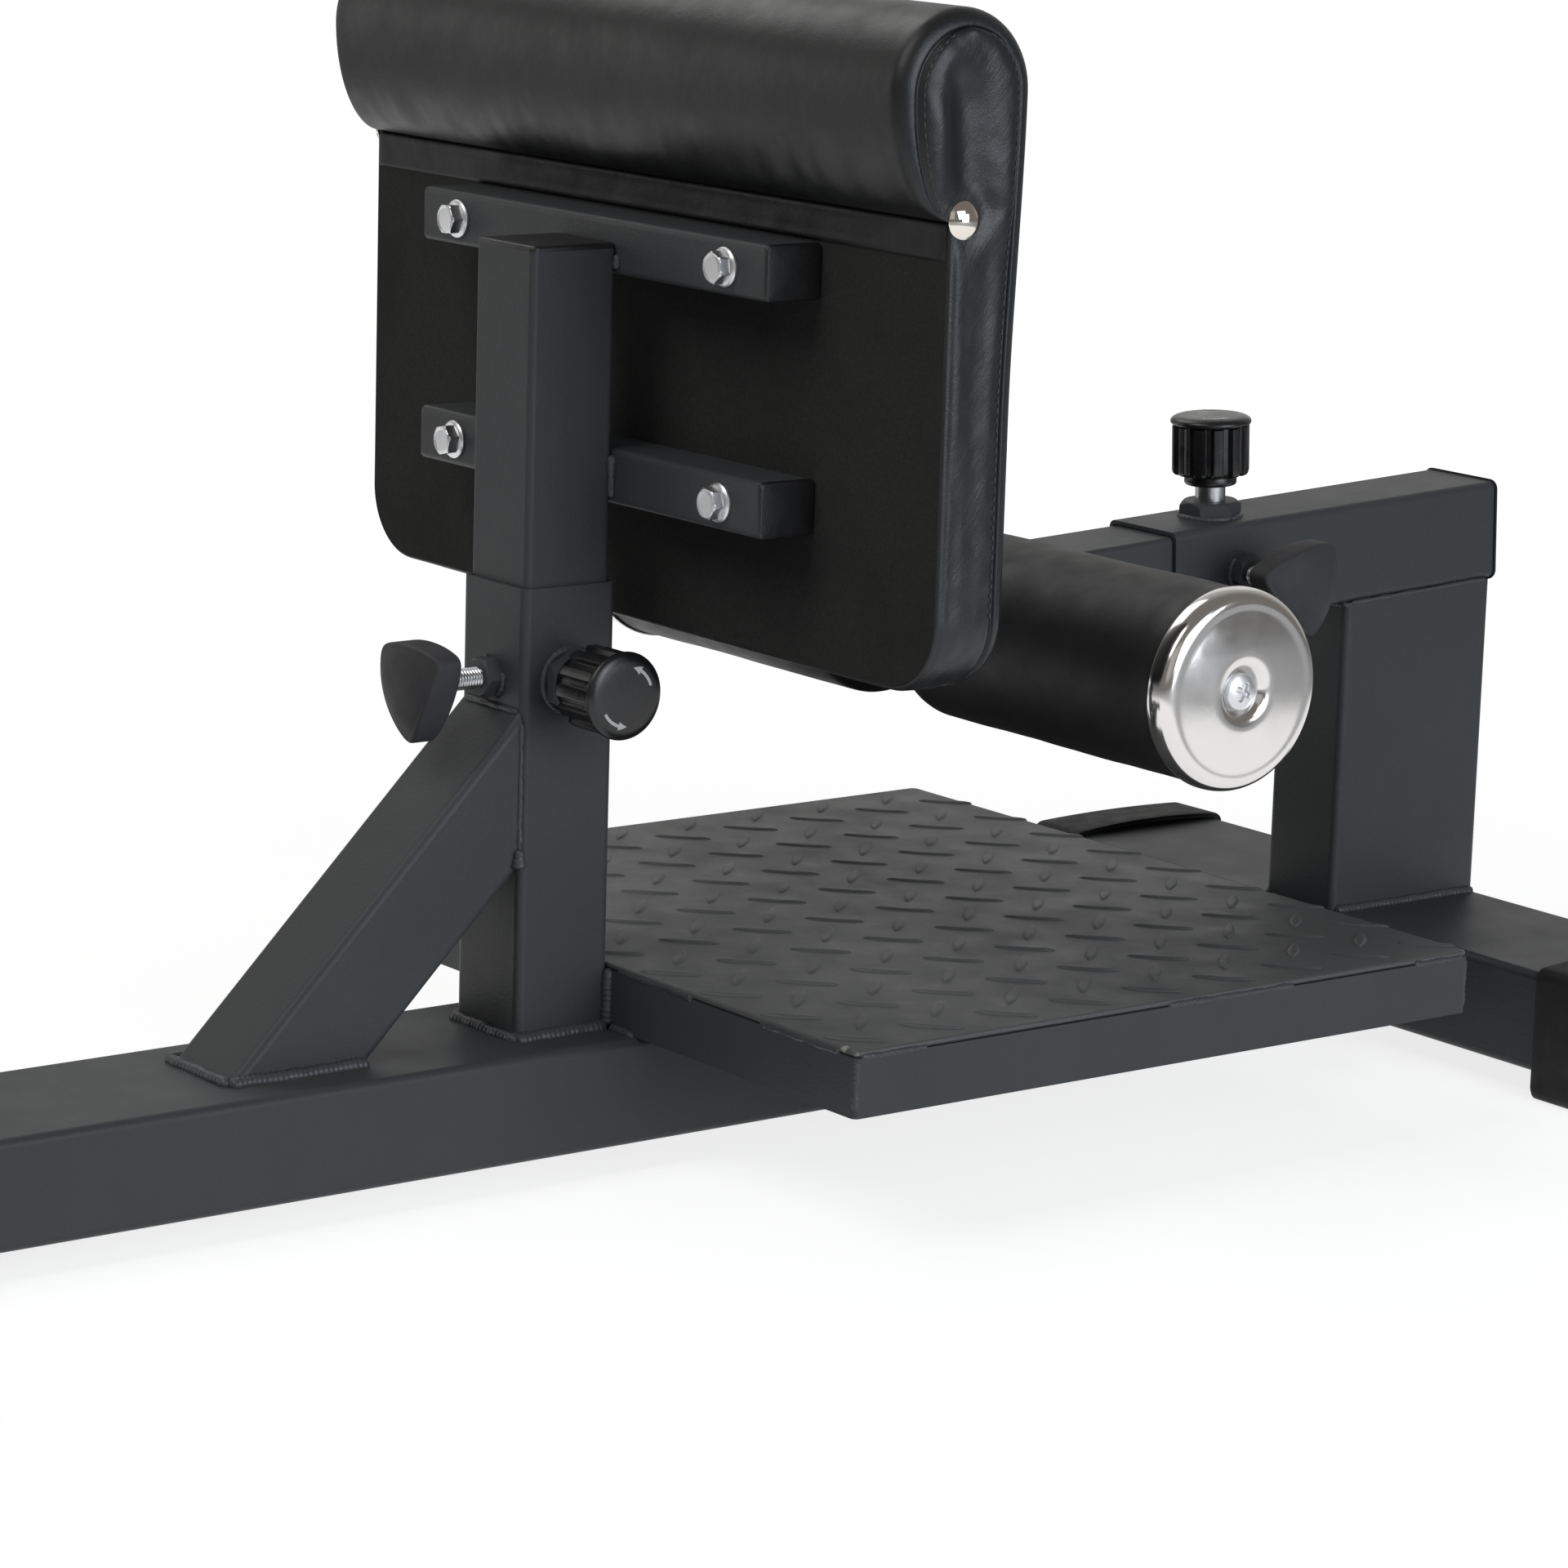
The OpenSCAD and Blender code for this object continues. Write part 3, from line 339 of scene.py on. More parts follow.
m = Maker("roller_foam", (33, 33, 34), 0.5, specular=0.4)
m.tint(m.vary(22, 3, 0.55, 0.4, 0.7, 0, 0.5), (24, 24, 25))
m.tint(m.vary(1600, 2, 0.6, 0.55, 0.8, 0, 0.4), (42, 42, 43))
m.gloss(60, 3, 0.6, 0.3, 0.7, 0.46, 0.58)
m.bump(m.noise(1500, 2, 0.6), 0.25, 0.0003)
m.bump(m.noise(45, 3), 0.12, 0.002)
FOAM = m.material

VINYL = vinyl("vinyl", (29, 30, 31), 0.4, 0)
SIDE_VINYL = vinyl("side_vinyl", (31, 35, 38), 0.34, 0.16)
BAND_VINYL = vinyl("band_vinyl", (15, 15, 16), 0.56, 0.2)
CHROME = metal("chrome", (224, 222, 220), 0.13)
STUD_CHROME = metal("stud_chrome", (226, 220, 212), 0.04)
ZINC = metal("zinc", (190, 192, 196), 0.3, specks=0.5)
BOLT = metal("bolt_zinc", (216, 217, 219), 0.36, specks=0.2)
KNOB = plastic("knob_plastic", (25, 25, 26), 0.27)
PLUG = plastic("black_plastic", (24, 24, 25), 0.42, 900, 0.3)
CLAMP = plastic("clamp_rubber", (64, 64, 66), 0.6, 700, 0.35, 0.25)
RUBBER = plastic("foot_rubber", (34, 34, 35), 0.6, 600, 0.35, 0.25)
PRINT = plastic("print_white", (205, 205, 203), 0.5)
THREAD = plastic("thread", (62, 62, 63), 0.6)

# Finish of the CAD's own pieces
FINISH = [
    (COAT, "base_beam front_cross_tube tail_cross_tube outer_post brace plate_rim plate_ribs arm_tube "
    "front_upright arm_sleeve post_pin_boss sleeve_pin_boss post_clamp_nut sleeve_clamp_nut "
    "inner_post upper_bracket lower_bracket"),
    (TREAD, "tread_plate"),
    (RUBBER, "front_foot_left front_foot_right tail_foot_left tail_foot_right"),
    (PLUG, "sleeve_end_cap inner_post_cap bracket_end_caps arm_end_cap roller_liner_left "
    "roller_liner_right"),
    (CLOTH, "pad_board"),
    (ZINC, "pad_bolts tee_nuts axle_tube axle_plugs roller_washers cap_screws post_pin_barrel "
    "sleeve_pin_barrel post_clamp_screw sleeve_clamp_screw"),
    (STUD_CHROME, "side_studs"),
    (CHROME, "roller_cap_left roller_cap_right post_pin sleeve_pin"),
    (KNOB, "post_pin_knob post_pin_cap sleeve_pin_knob sleeve_pin_cap"),
    (CLAMP, "post_clamp_knob sleeve_clamp_knob"),
]
for material, nodes in FINISH:
    for node in nodes.split():
        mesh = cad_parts[node].data
        mesh.materials.clear()
        mesh.materials.append(material)


# Mesh tools. A mesh is (points, faces); a ring is a row of points, and rings of one size make a skin.

def grid(rows, columns):
    """Point numbers of a grid, row after row."""
    return np.arange(rows * columns).reshape(rows, columns)


def quads(numbers, close=False):
    """Faces over a table of point numbers. close joins its last column to the first."""
    numbers = np.array(numbers).tolist()
    if close:
        numbers = [row + row[:1] for row in numbers]
    return [corners for row, after in zip(numbers, numbers[1:])
            for corners in zip(row, row[1:], after[1:], after)]


def border(numbers):
    """The numbers round a table's edge."""
    return [*numbers[:, 0].tolist(), *numbers[-1, 1:].tolist(), *numbers[-2::-1, -1].tolist(),
            *numbers[0, -2:0:-1].tolist()]


def piece(name, mesh, material, body, node=None, place=None, smooth=True, merge=0, sharp=None):
    """A piece of the object, moved to a place, and shown instead of a CAD node if one is named."""
    points, faces = moved_mesh(mesh, place) if place is not None else mesh
    data = bpy.data.meshes.new(name)
    data.from_pydata((np.asarray(points, float) * MM).tolist(), [], faces)
    work = bmesh.new()
    work.from_mesh(data)
    if merge:
        bmesh.ops.remove_doubles(work, verts=work.verts, dist=merge * MM)
        bmesh.ops.dissolve_degenerate(work, edges=work.edges, dist=merge * MM * 0.5)
    bmesh.ops.recalc_face_normals(work, faces=work.faces)
    work.to_mesh(data)
    work.free()
    data.materials.append(material)
    made = add_object(name, data)
    if smooth:
        data.polygons.foreach_set("use_smooth", [True] * len(data.polygons))
        if sharp is not None:
            data.set_sharp_from_angle(angle=radians(sharp))
    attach(made, body)
    if node:
        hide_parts(node)
    return made


def moved(x, y, z, *turns):
    """A matrix in millimetres and degrees: turns first, then the move."""
    matrix = Matrix.Translation(Vector((x, y, z)))
    for degrees, axis in turns:
        matrix = matrix @ Matrix.Rotation(radians(degrees), 4, axis)
    return matrix


def moved_mesh(mesh, place):
    points, faces = mesh
    return [tuple(place @ Vector(p)) for p in points], faces


def joined(meshes):
    """Several meshes as one."""
    points, faces = [], []
    for some_points, some_faces in meshes:
        first = len(points)
        points += [tuple(p) for p in some_points]
        faces += [tuple(first + v for v in face) for face in some_faces]
    return points, faces


def full_turn(count):
    return np.linspace(0, 2 * pi, count, endpoint=False)


def ring(r, z, angles):
    """Points at a radius and a height, either of which can have a value for each angle."""
    return np.stack([r * np.cos(angles), r * np.sin(angles), np.broadcast_to(z, angles.shape)], axis=1)


def turned(profile, angles, z=0):
    """Rings at the points (radius, height) of a profile, all moved up by z."""
    return [ring(r, h + z, angles) for r, h in profile]


def skin(rings):
    """Closed skin over a row of rings."""
    rings = np.asarray(rings, float)
    numbers = grid(*rings.shape[:2])
    points, faces = rings.reshape(-1, 3).tolist(), quads(numbers, close=True)
    for row in (0, -1):
        edge = numbers[row].tolist()
        faces += [(a, b, len(points)) for a, b in zip(edge, edge[1:] + edge[:1])]
        points.append(rings[row].mean(0).tolist())
    return points, faces


def lathe(profile, around, change=None):
    """A closed profile of (radius, height) points, turned about Z. change can push its rings about."""
    rings = np.array(turned(profile, full_turn(around)))
    if change:
        change(rings)
    numbers = grid(*rings.shape[:2])
    return rings.reshape(-1, 3), quads([*numbers, numbers[0]], close=True)


def bulge(x, y, z, size, seed=0):
    """Smooth noise from -1 to 1, the same at each run."""
    return noise.noise(Vector((x / size + seed, y / size - seed * 0.7, z / size + seed * 1.3)))


def ease(t):
    t = np.minimum(1, np.maximum(0, t))
    return t * t * (3 - 2 * t)


def round_box(w, h, r):
    """Outline of a rectangle with round corners, centred, as (a, b) points."""
    out = []
    for k, (sx, sy) in enumerate(((1, 1), (-1, 1), (-1, -1), (1, -1))):
        for a in np.radians(90 * k + np.linspace(0, 90, 7)):
            out.append((sx * (w / 2 - r) + r * cos(a), sy * (h / 2 - r) + r * sin(a)))
    return out


# Places in the frame, from the nodes' boxes

POST_LO, POST_HI = span("outer_post")
INNER_LO, INNER_HI = span("inner_post")
BEAM_LO, BEAM_HI = span("base_beam")
BRACE_LO, BRACE_HI = span("brace")
UP_LO, UP_HI = span("front_upright")
RIM_LO, RIM_HI = span("plate_rim")
TUBE_LO, TUBE_HI = span("front_cross_tube")
BRACKETS = [span("upper_bracket"), span("lower_bracket")]
DECK = BEAM_HI[2]
POST_Y = (POST_LO[1] + POST_HI[1]) / 2
POST_LOCK_Z = (span("post_pin")[0][2] + span("post_pin")[1][2]) / 2
ARM_PITCH = 2.8
MOUTH = np.array((0, 335, 241.5))     # middle of the sleeve's open end
SLEEVE_L, SLEEVE_W = 215, 52
AXLE_Y, ARM_NOSE, ARM_W = -135, -163, 45     # along the arm, from the mouth
LOCK_Y = 44
ON_ARM = moved(*MOUTH, (ARM_PITCH, "X"))
AT_POST_PIN = moved(POST_HI[0], POST_Y, POST_LOCK_Z, (90, "Y"))
AT_POST_CLAMP = moved(0, POST_LO[1], POST_LOCK_Z, (90, "X"))
AT_SLEEVE_PIN = ON_ARM @ moved(0, LOCK_Y, 25)
AT_SLEEVE_CLAMP = ON_ARM @ moved(25, LOCK_Y, 0, (90, "Y"), (103, "Z"))


def at_axle(side):
    return ON_ARM @ moved(0, AXLE_Y, 0, (90 * side, "Y"))


# Calf pad: a cover over the foam, in one closed mesh

pad_lo, pad_hi = span("pad_cushion")
board_lo, board_hi = span("pad_board")
strip_lo, strip_hi = span("cover_strip")
STUD_Y, STUD_Z = (sum(span("side_studs")) / 2)[1:]
HALF = 220
LOW, TOP = pad_lo[2], pad_hi[2]
BACK = board_lo[1]
FRONT = BACK + 39.5
ROLL_R = 36
ROLL_Y, ROLL_Z = BACK + 7.8, TOP - ROLL_R
NECK, NECK_Y = strip_hi[2] + 0.5, BACK + 0.5
CORNER = 33
SOFT = 8      # radius of the cover's soft edges
CROWN = 5


def drop(radius, over):
    """How far a round edge has drawn in, this far over into its rounding."""
    return radius - sqrt(radius ** 2 - min(radius, max(0, over)) ** 2)


def outline_distance(x, z):
    """Distance from the pad's outline, inwards, round the lower corners."""
    dx, dz = HALF - abs(x), z - LOW
    if dx < CORNER and dz < CORNER:
        return CORNER - hypot(CORNER - dx, CORNER - dz)
    return min(dx, dz)


def outward(x):
    """Direction out of the pad's lower outline at x, as (x, z)."""
    lean = copysign(asin(min(1, max(0, abs(x) - (HALF - CORNER)) / CORNER)), x)
    return sin(lean), -cos(lean)


def front_profile(x, z):
    t = (z - LOW - 7) / (ROLL_Z - LOW - 7)
    swell = CROWN * (1 - abs(x / HALF) ** 4) * sin(pi * min(1, max(0, t) * 1.15))
    return FRONT + swell + (ROLL_Y + ROLL_R - FRONT) * ease(max(0, t * 1.8 - 0.8))


def pad_stations():
    """The x of the columns, closer together at the rounded edges."""
    right = [HALF - SOFT + SOFT * sin(a) for a in np.linspace(0.12, pi / 2, 9)]
    right += [HALF - CORNER + CORNER * sin(a) for a in np.linspace(0, 0.83, 10)]
    right += list(np.linspace(0, HALF - CORNER, 64)[1:-1])
    right = sorted(set(round(v, 4) for v in right))
    return [-v for v in reversed(right)] + [0] + right


def side_point(edge, back_y, out, depth):
    """A point of a side panel or the lower band, at a depth behind the front edge: pushed out by the
    stuffing, drawn in by seams, stud and neck, and a little creased."""
    x, y, z = edge[0], edge[1] - depth, edge[2]
    rest = y - back_y
    from_stud = hypot(y - STUD_Y, z - STUD_Z)
    high, low_side = ease((z - NECK + 18) / 30), ease((NECK + 6 - z) / 12)
    edge_at = min(depth, rest) if z > NECK else depth
    push = (0.9 + 2.6 * high) * (1 - exp(-edge_at / (3 + 1.6 * high)))
    across = y - STUD_Y + 0.19 * (z - STUD_Z) - 4
    push -= (4.6 * exp(-(across / (10.5 if across < 0 else 13)) ** 2)
        * ease((z - NECK + 6) / 14) * ease((TOP - 18 - z) / 22))
    push += 3.1 * exp(-((y - 20) / 8.5) ** 2 - ((z - TOP + 44) / 26) ** 2)
    push += 0.9 * high * exp(-((y - 58) / 9) ** 2)
    push -= 1.5 * exp(-((depth - 0.9) / 1.2) ** 2)
    push -= 1.5 * exp(-((rest - 0.9) / 1.2) ** 2) if z > NECK else 0
    push *= ease((from_stud - 8) / 9) * (1 if z > NECK else ease(rest / 3))
    ripple = 0.3 * bulge(x * 0.4, y, z, 9, 4.4) + 0.45 * bulge(x * 0.4, y, z, 26, 9.9)
    ripple += 0.8 * low_side * bulge(x * 0.2, y, z * 0.12, 9, 6.1)
    ripple += 0.28 * (1 - low_side) * bulge(0, (y + z) * 0.9, (y - z) * 0.22, 5, 2.6)
    push += ripple * ease(depth / 6) * ease(rest / 6) * ease((from_stud - 9) / 8)
    return x + out[0] * push, y, z + out[1] * push


def build_pad():
    xs = pad_stations()
    n = len(xs)
    neck, roll, rows = 56, 78, 103      # rows below the neck and below the roll's middle, and in all
    front, back = np.zeros((2, n, rows, 3))
    for i, x in enumerate(xs):
        inset = drop(SOFT, abs(x) - (HALF - SOFT))
        radius = ROLL_R - inset
        low = LOW + drop(CORNER, abs(x) - (HALF - CORNER))
        inside = ease((HALF - abs(x)) / 25)
        for k in range(rows):
            if k <= neck:
                z = low + (NECK - low) * (k / neck) ** 1.5
            elif k <= roll:
                z = ROLL_Z - (ROLL_Z - NECK) * sin(pi / 2 * (roll - k) / (roll - neck))
            if k <= roll:
                y = front_profile(x, z) - drop(SOFT, SOFT - outline_distance(x, z))
                hollow = sqrt(max(0, 1 - ((ROLL_Z - z) / (ROLL_Z - NECK)) ** 2))
                behind = NECK_Y + (ROLL_Y - radius - NECK_Y) * hollow if k >= neck else BACK + 1.6
            else:
                a = pi / 2 * (k - roll) / (rows - 1 - roll)
                z = ROLL_Z + radius * sin(a)
                blend = ease((z - ROLL_Z) / 14)
                y = ((ROLL_Y + radius * cos(a)) * blend
                     + (front_profile(x, z) - inset - radius * (1 - cos(a))) * (1 - blend))
                behind = ROLL_Y - radius * cos(a)
            # The stuffed cover has slow waves, and gathers where it is pulled under the band
            if 0 < k < rows - 1:
                wave = 0.7 * bulge(x, 0, z, 60, 3.1) + 0.3 * bulge(x, 0, z, 22, 8.2)
                y += wave * inside * ease(outline_distance(x, z) / 20)
            if neck < k < rows - 1:
                along = (z - NECK) / (ROLL_Z - NECK)
                gather = exp(-(along / 0.45) ** 2) * ease(along / 0.06) * inside
                wave = 0.6 * bulge(x, 40, z, 55, 5.7)
                wave += gather * 1.5 * bulge(x, 7, z * 0.25, 13, 2.2)
                wave += gather * 0.5 * bulge(x, 3, z * 0.3, 6, 6.4)
                behind -= wave * (0.4 + 0.6 * inside)
            front[i, k], back[i, k] = (x, y, z), (x, behind, z)

    points = []

    def add(some):
        """Adds points, and gives their numbers in the same arrangement."""
        some = np.array(some)
        first = len(points)
        points.extend(some.reshape(-1, 3).tolist())
        return np.arange(first, len(points)).reshape(some.shape[:-1])

    F = add(front)
    B = F.copy()
    B[:, neck:-1] = add(back[:, neck:-1])
    faces = quads(F.T) + quads(B[:, neck:])

    # Side panels with the lower band in one run: its columns go from the front edge to the back
    share = np.linspace(0, 1, 35)
    share = (0.5 - 0.5 * np.cos(pi * share) * (1 - 0.25 * np.sin(pi * share) ** 2))[1:-1]

    def across(i, k, out, last=()):
        """A row's point numbers; it ends on a new point at the back, if there is none."""
        edge, back_y = front[i, k], back[i, k, 1]
        row = [side_point(edge, back_y, out, (edge[1] - back_y) * t) for t in share]
        return [F[i, k], *add(row if last else [*row, back[i, k]]), *last]

    panels, seams = {}, []
    for side, i in ((-1, 0), (1, n - 1)):
        out, near, far = (side, 0), [], []
        for k in range(rows - 6):
            edge, back_y = front[i, k], back[i, k, 1]
            if edge[2] > LOW + CORNER * 0.7:
                near.append(side_point(edge, back_y, out, 2.7))
                if k > neck + 2:
                    far.append(side_point(edge, back_y, out, edge[1] - back_y - 2.7))
        seams += [(near, side), (far, side)]
        panels[side] = [across(i, k, out, [B[i, k]] if k >= neck else ()) for k in range(rows - 1)]
        top = panels[side][-1]
        faces += quads(panels[side]) + [(int(a), int(b), int(F[i, -1])) for a, b in zip(top, top[1:])]
    bottom = [panels[-1][0], *[across(i, 0, outward(xs[i])) for i in range(1, n - 1)], panels[1][0]]
    faces += quads(np.transpose(bottom))

    # The cover folds over the board's edge, and the foam has a pocket for the board
    def pocket(point, out, step):
        x, _, z = point
        if out:
            inset, depth = ((0.5, 0.4), (1.45, 0.05), (1.45, 8), (1.45, 15.35))[step]
            return x - out[0] * inset, BACK + depth, z - out[1] * inset
        board = board_hi[2] + 0.4
        depth, z = ((0.3, NECK + 0.3), (0.1, NECK + 1), (0.1, board), (15.35, board))[step]
        return max(1.45 - HALF, min(HALF - 1.45, x)), BACK + depth, z

    loop = [(panels[1][k][-1], (1, 0)) for k in range(neck - 1, -1, -1)]
    loop += [(bottom[i][-1], outward(xs[i])) for i in range(n - 2, 0, -1)]
    loop += [(panels[-1][k][-1], (-1, 0)) for k in range(neck)]
    loop += [(B[i, neck], None) for i in range(n)]
    rings = [[number for number, _ in loop]]
    for step in range(4):
        rings.append(add([pocket(points[number], out, step) for number, out in loop]).tolist())
    faces += quads(rings, close=True)
    flat = [Vector((points[j][0], points[j][2], 0)) for j in rings[-1]]
    faces += [tuple(rings[-1][j] for j in triangle) for triangle in tessellate_polygon([flat])]

    pad = piece("calf_pad", (points, faces), VINYL, "pad", "pad_cushion", merge=0.02)
    pad.data.materials.append(SIDE_VINYL)
    for polygon in pad.data.polygons:
        x, y, z = polygon.center / MM
        in_roll = hypot(y - ROLL_Y, z - ROLL_Z) < ROLL_R - SOFT - 1
        in_panel = in_roll or (z < ROLL_Z and BACK + 3 < y < FRONT - SOFT - 1)
        if abs(x) > HALF - 12 and (abs(polygon.normal.x) > 0.72 or in_panel):
            polygon.material_index = 1
    return seams


SEAMS = build_pad()


# The band that closes the cover under the roll: a soft strip with a hem along each edge
(x0, _, z0), (x1, y1, z1) = strip_lo, strip_hi - np.array((0, 0.15, 0))
outer, inner = [], []
for x in np.linspace(x0, x1, 141):
    for t in np.linspace(0, 1, 13):
        z = z0 + (z1 - z0) * t
        hem = exp(-((t - 0.12) / 0.07) ** 2) + exp(-((t - 0.9) / 0.08) ** 2)
        edge = min(1, min(t, 1 - t) / 0.05, min(x - x0, x1 - x) / 1.2)
        lift = (0.75 + 0.55 * hem + 0.35 * bulge(x, 0, z, 14, 1.5)) * sqrt(max(0, edge))
        z += 0.5 * bulge(x, 5, 0, 40, 7.3) * (1 - 2 * abs(t - 0.5))
        outer.append((x, y1 - 0.1 - lift, z))
        inner.append((x, y1, z))
top = grid(141, 13)
under = top + top.size
faces = quads(top) + [face[::-1] for face in quads(under)]
faces += quads([border(top), border(under)], close=True)
piece("closing_band", (outer + inner, faces), BAND_VINYL, "pad", "cover_strip")


# Foam rollers: turned from their section, a little uneven, as moulded foam is

def build_roller(side, where):
    lo, hi = span("foam_roller_" + where)
    start, end = sorted((abs(lo[0]), abs(hi[0])))
    radius = (hi[2] - lo[2]) / 2
    liner_lo, liner_hi = span("roller_liner_left")
    bore = (liner_hi[2] - liner_lo[2]) / 2 + 0.1
    inner_r, outer_r = 11, 5    # rounding of the two ends
    profile = [(bore, start), (bore + 4, start + 0.6)]
    profile += [(radius - inner_r + inner_r * cos(a), start + inner_r + inner_r * sin(a))
        for a in np.linspace(-pi / 2, 0, 12)]
    profile += [(radius, z) for z in np.linspace(start + inner_r, end - outer_r, 40)[1:-1]]
    profile += [(radius - outer_r + outer_r * cos(a), end - outer_r + outer_r * sin(a))
        for a in np.linspace(0, pi / 2, 7)]
    profile += [(bore + 3, end), (bore, end - 0.5)]

    def uneven(rings):
        for row, (r, h) in zip(rings, profile):
            if r < radius * 0.8 or h > end - 12:
                continue
            for p in row:
                push = 0.45 * bulge(*p, 48, 2 + side) + 0.2 * bulge(*p, 17, 5 + side) - 0.25
                p[:2] *= 1 + push / r

    made = piece("foam_sleeve_" + where, lathe(profile, 112, uneven), FOAM, "roller_" + where,
        "foam_roller_" + where, at_axle(side))


build_roller(-1, "left")
build_roller(1, "right")


# Foot caps: a soft shell over the tube's end, its top lip arched off the tube

FOOT_LO, FOOT_HI = span("front_foot_right")


def foot_ring(x, half, low, high, r, arch, soft=0):
    """One ring of a foot cap at x, with more points along its arched top."""
    half, low, high = half - soft, low + soft, high - soft
    r = max(0.8, r - soft * 0.5)
    points = round_box(2 * half, high - low, r)
    points[7:7] = [(t * (half - r), (high - low) / 2) for t in np.linspace(1, -1, 25)[1:-1]]
    bow = [arch * max(0, cos(pi / 2 * y / half)) ** 0.8 if z > 0 else 0 for y, z in points]
    return [(x, y, z + (low + high) / 2 + up) for (y, z), up in zip(points, bow)]


def build_foot(name, node, side, middle_y):
    lip, end = FOOT_LO[0], FOOT_HI[0]
    half, low, high = (TUBE_HI[1] - TUBE_LO[1]) / 2, TUBE_LO[2], TUBE_HI[2]
    wall = (FOOT_HI[1] - FOOT_LO[1]) / 2 - half
    arch = FOOT_HI[2] - high - wall
    full = half + wall, 0, high + wall, 5.2
    edge = 3.2
    rings = [foot_ring(x, half + 0.05, low - 0.05, high + 0.05, 4, arch * bow * 0.9)
        for x, bow in ((TUBE_HI[0] + 0.05, 0), (lip + 12, 0.3), (lip + 5, 0.75), (lip + 0.9, 1))]
    for t in (0, 0.3, 0.6, 0.85):
        out = wall * (0.35 + 0.65 * t)
        rings.append(foot_ring(lip + 0.9 * (1 - sin(pi / 2 * t)), half + out,
            low - (0.4 + (low - 0.4) * t), high + out, 4.6, arch))
    rings.append(foot_ring(lip + 0.9, *full, arch))
    rings += [foot_ring(lip + (end - lip) * t, *full, arch * (1 - 0.5 * t))
        for t in (0.15, 0.35, 0.6, 0.8)]
    rings += [foot_ring(end - 0.5 - edge + edge * sin(a), *full, arch * 0.5, edge * (1 - cos(a)))
        for a in np.linspace(0, pi / 2, 7)]
    rings.append(foot_ring(end, half + wall - 12, 6, high + wall - 9, 5, 0))
    placed = [[(side * x, y + middle_y, z) for x, y, z in points] for points in rings]
    piece(name, skin(placed), RUBBER, "root", node, sharp=50)


for end in ("front", "tail"):
    lo, hi = span(end + "_cross_tube")
    for where, side in (("right", 1), ("left", -1)):
        build_foot(f"foot_cap_{end}_{where}", f"{end}_foot_{where}", side, (lo[1] + hi[1]) / 2)


# End plugs: a domed plate with a soft edge, and its block inside the tube

def build_plug(name, node, body, places, w, h, r, edge):
    block_l, gap, thick, dome = 9.5, 2.2, 3, 0.4
    block = round_box(w - 2 * gap, h - 2 * gap, max(0.8, r - gap))
    outlines = [(block, -block_l), (block, 0), (round_box(w, h, r), 0)]
    for a in np.linspace(0, pi / 2, 7):
        d = edge * (1 - cos(a))
        outlines.append((round_box(w - 2 * d, h - 2 * d, max(0.5, r - d)),
            thick - dome - edge + edge * sin(a)))
    for k in (0.75, 0.4, 0.1):
        flat = round_box((w - 2 * edge) * k, (h - 2 * edge) * k, max(0.3, (r - edge * 0.9) * k))
        outlines.append((flat, thick - dome * k * k))
    mesh = skin([[(a, b, z) for a, b in outline] for outline, z in outlines])
    plugs = joined([moved_mesh(mesh, place) for place in places])
    piece(name, plugs, PLUG, body, node, sharp=45)


INNER_W = INNER_HI - INNER_LO
BRACKET_W = BRACKETS[0][1] - BRACKETS[0][0]
build_plug("post_plug", "inner_post_cap", "pad", [moved(0, (INNER_LO[1] + INNER_HI[1]) / 2, INNER_HI[2])],
    INNER_W[0], INNER_W[1], 3.2, 1.6)
build_plug("bracket_plugs", "bracket_end_caps", "pad",
    [moved(side * hi[0], (lo[1] + hi[1]) / 2, (lo[2] + hi[2]) / 2, (90 * side, "Y"))
    for lo, hi in BRACKETS for side in (1, -1)], BRACKET_W[2], BRACKET_W[1], 3, 1.3)
build_plug("sleeve_plug", "sleeve_end_cap", "root", [ON_ARM @ moved(0, SLEEVE_L, 0, (-90, "X"))],
    SLEEVE_W, SLEEVE_W, 5, 2.4)
build_plug("arm_plug", "arm_end_cap", "arm", [ON_ARM @ moved(0, ARM_NOSE, 0, (90, "X"))],
    ARM_W, ARM_W, 3.2, 1.5)


# Tread sheet: a flat sheet with soft edges and lens-shaped lugs

lo, hi = span("tread_plate")
low = RIM_HI[2]
top = low + 3
w, l = hi[0] - lo[0], hi[1] - lo[1]
rings = [[(a, b + (lo[1] + hi[1]) / 2, z)
    for a, b in round_box(w - 2 * inset, l - 2 * inset, 3.4 - inset * 0.5)]
    for inset, z in ((1.6, low), (1, low + 0.5), (0.45, low + 1.2), (0.4, top - 0.9),
    (0.65, top - 0.35), (1.2, top - 0.04), (2.2, top))]
parts = [skin(rings)]
lug_l, lug_w, lug_h, sunk = 30, 6, hi[2] - top, 0.12
arc = (lug_l ** 2 / 4 + lug_w ** 2 / 4) / lug_w
first, pitch = (9.8, lo[1] + 13.9), (45.3, 42.7)
lug = []    # along, across and rise of each point
for u in np.linspace(-1, 1, 17):
    half_w = max(0, sqrt(arc ** 2 - (lug_l / 2 * u) ** 2) - (arc - lug_w / 2))
    for t in np.linspace(-1, 1, 9):
        rise = lug_h * sqrt(max(0, 1 - abs(t) ** 3.2) * max(0, 1 - abs(u) ** 5)) - sunk
        lug.append((lug_l / 2 * u, half_w * t, max(-sunk, rise)))
numbers = grid(17, 9)
faces = quads(numbers) + [tuple(border(numbers))]
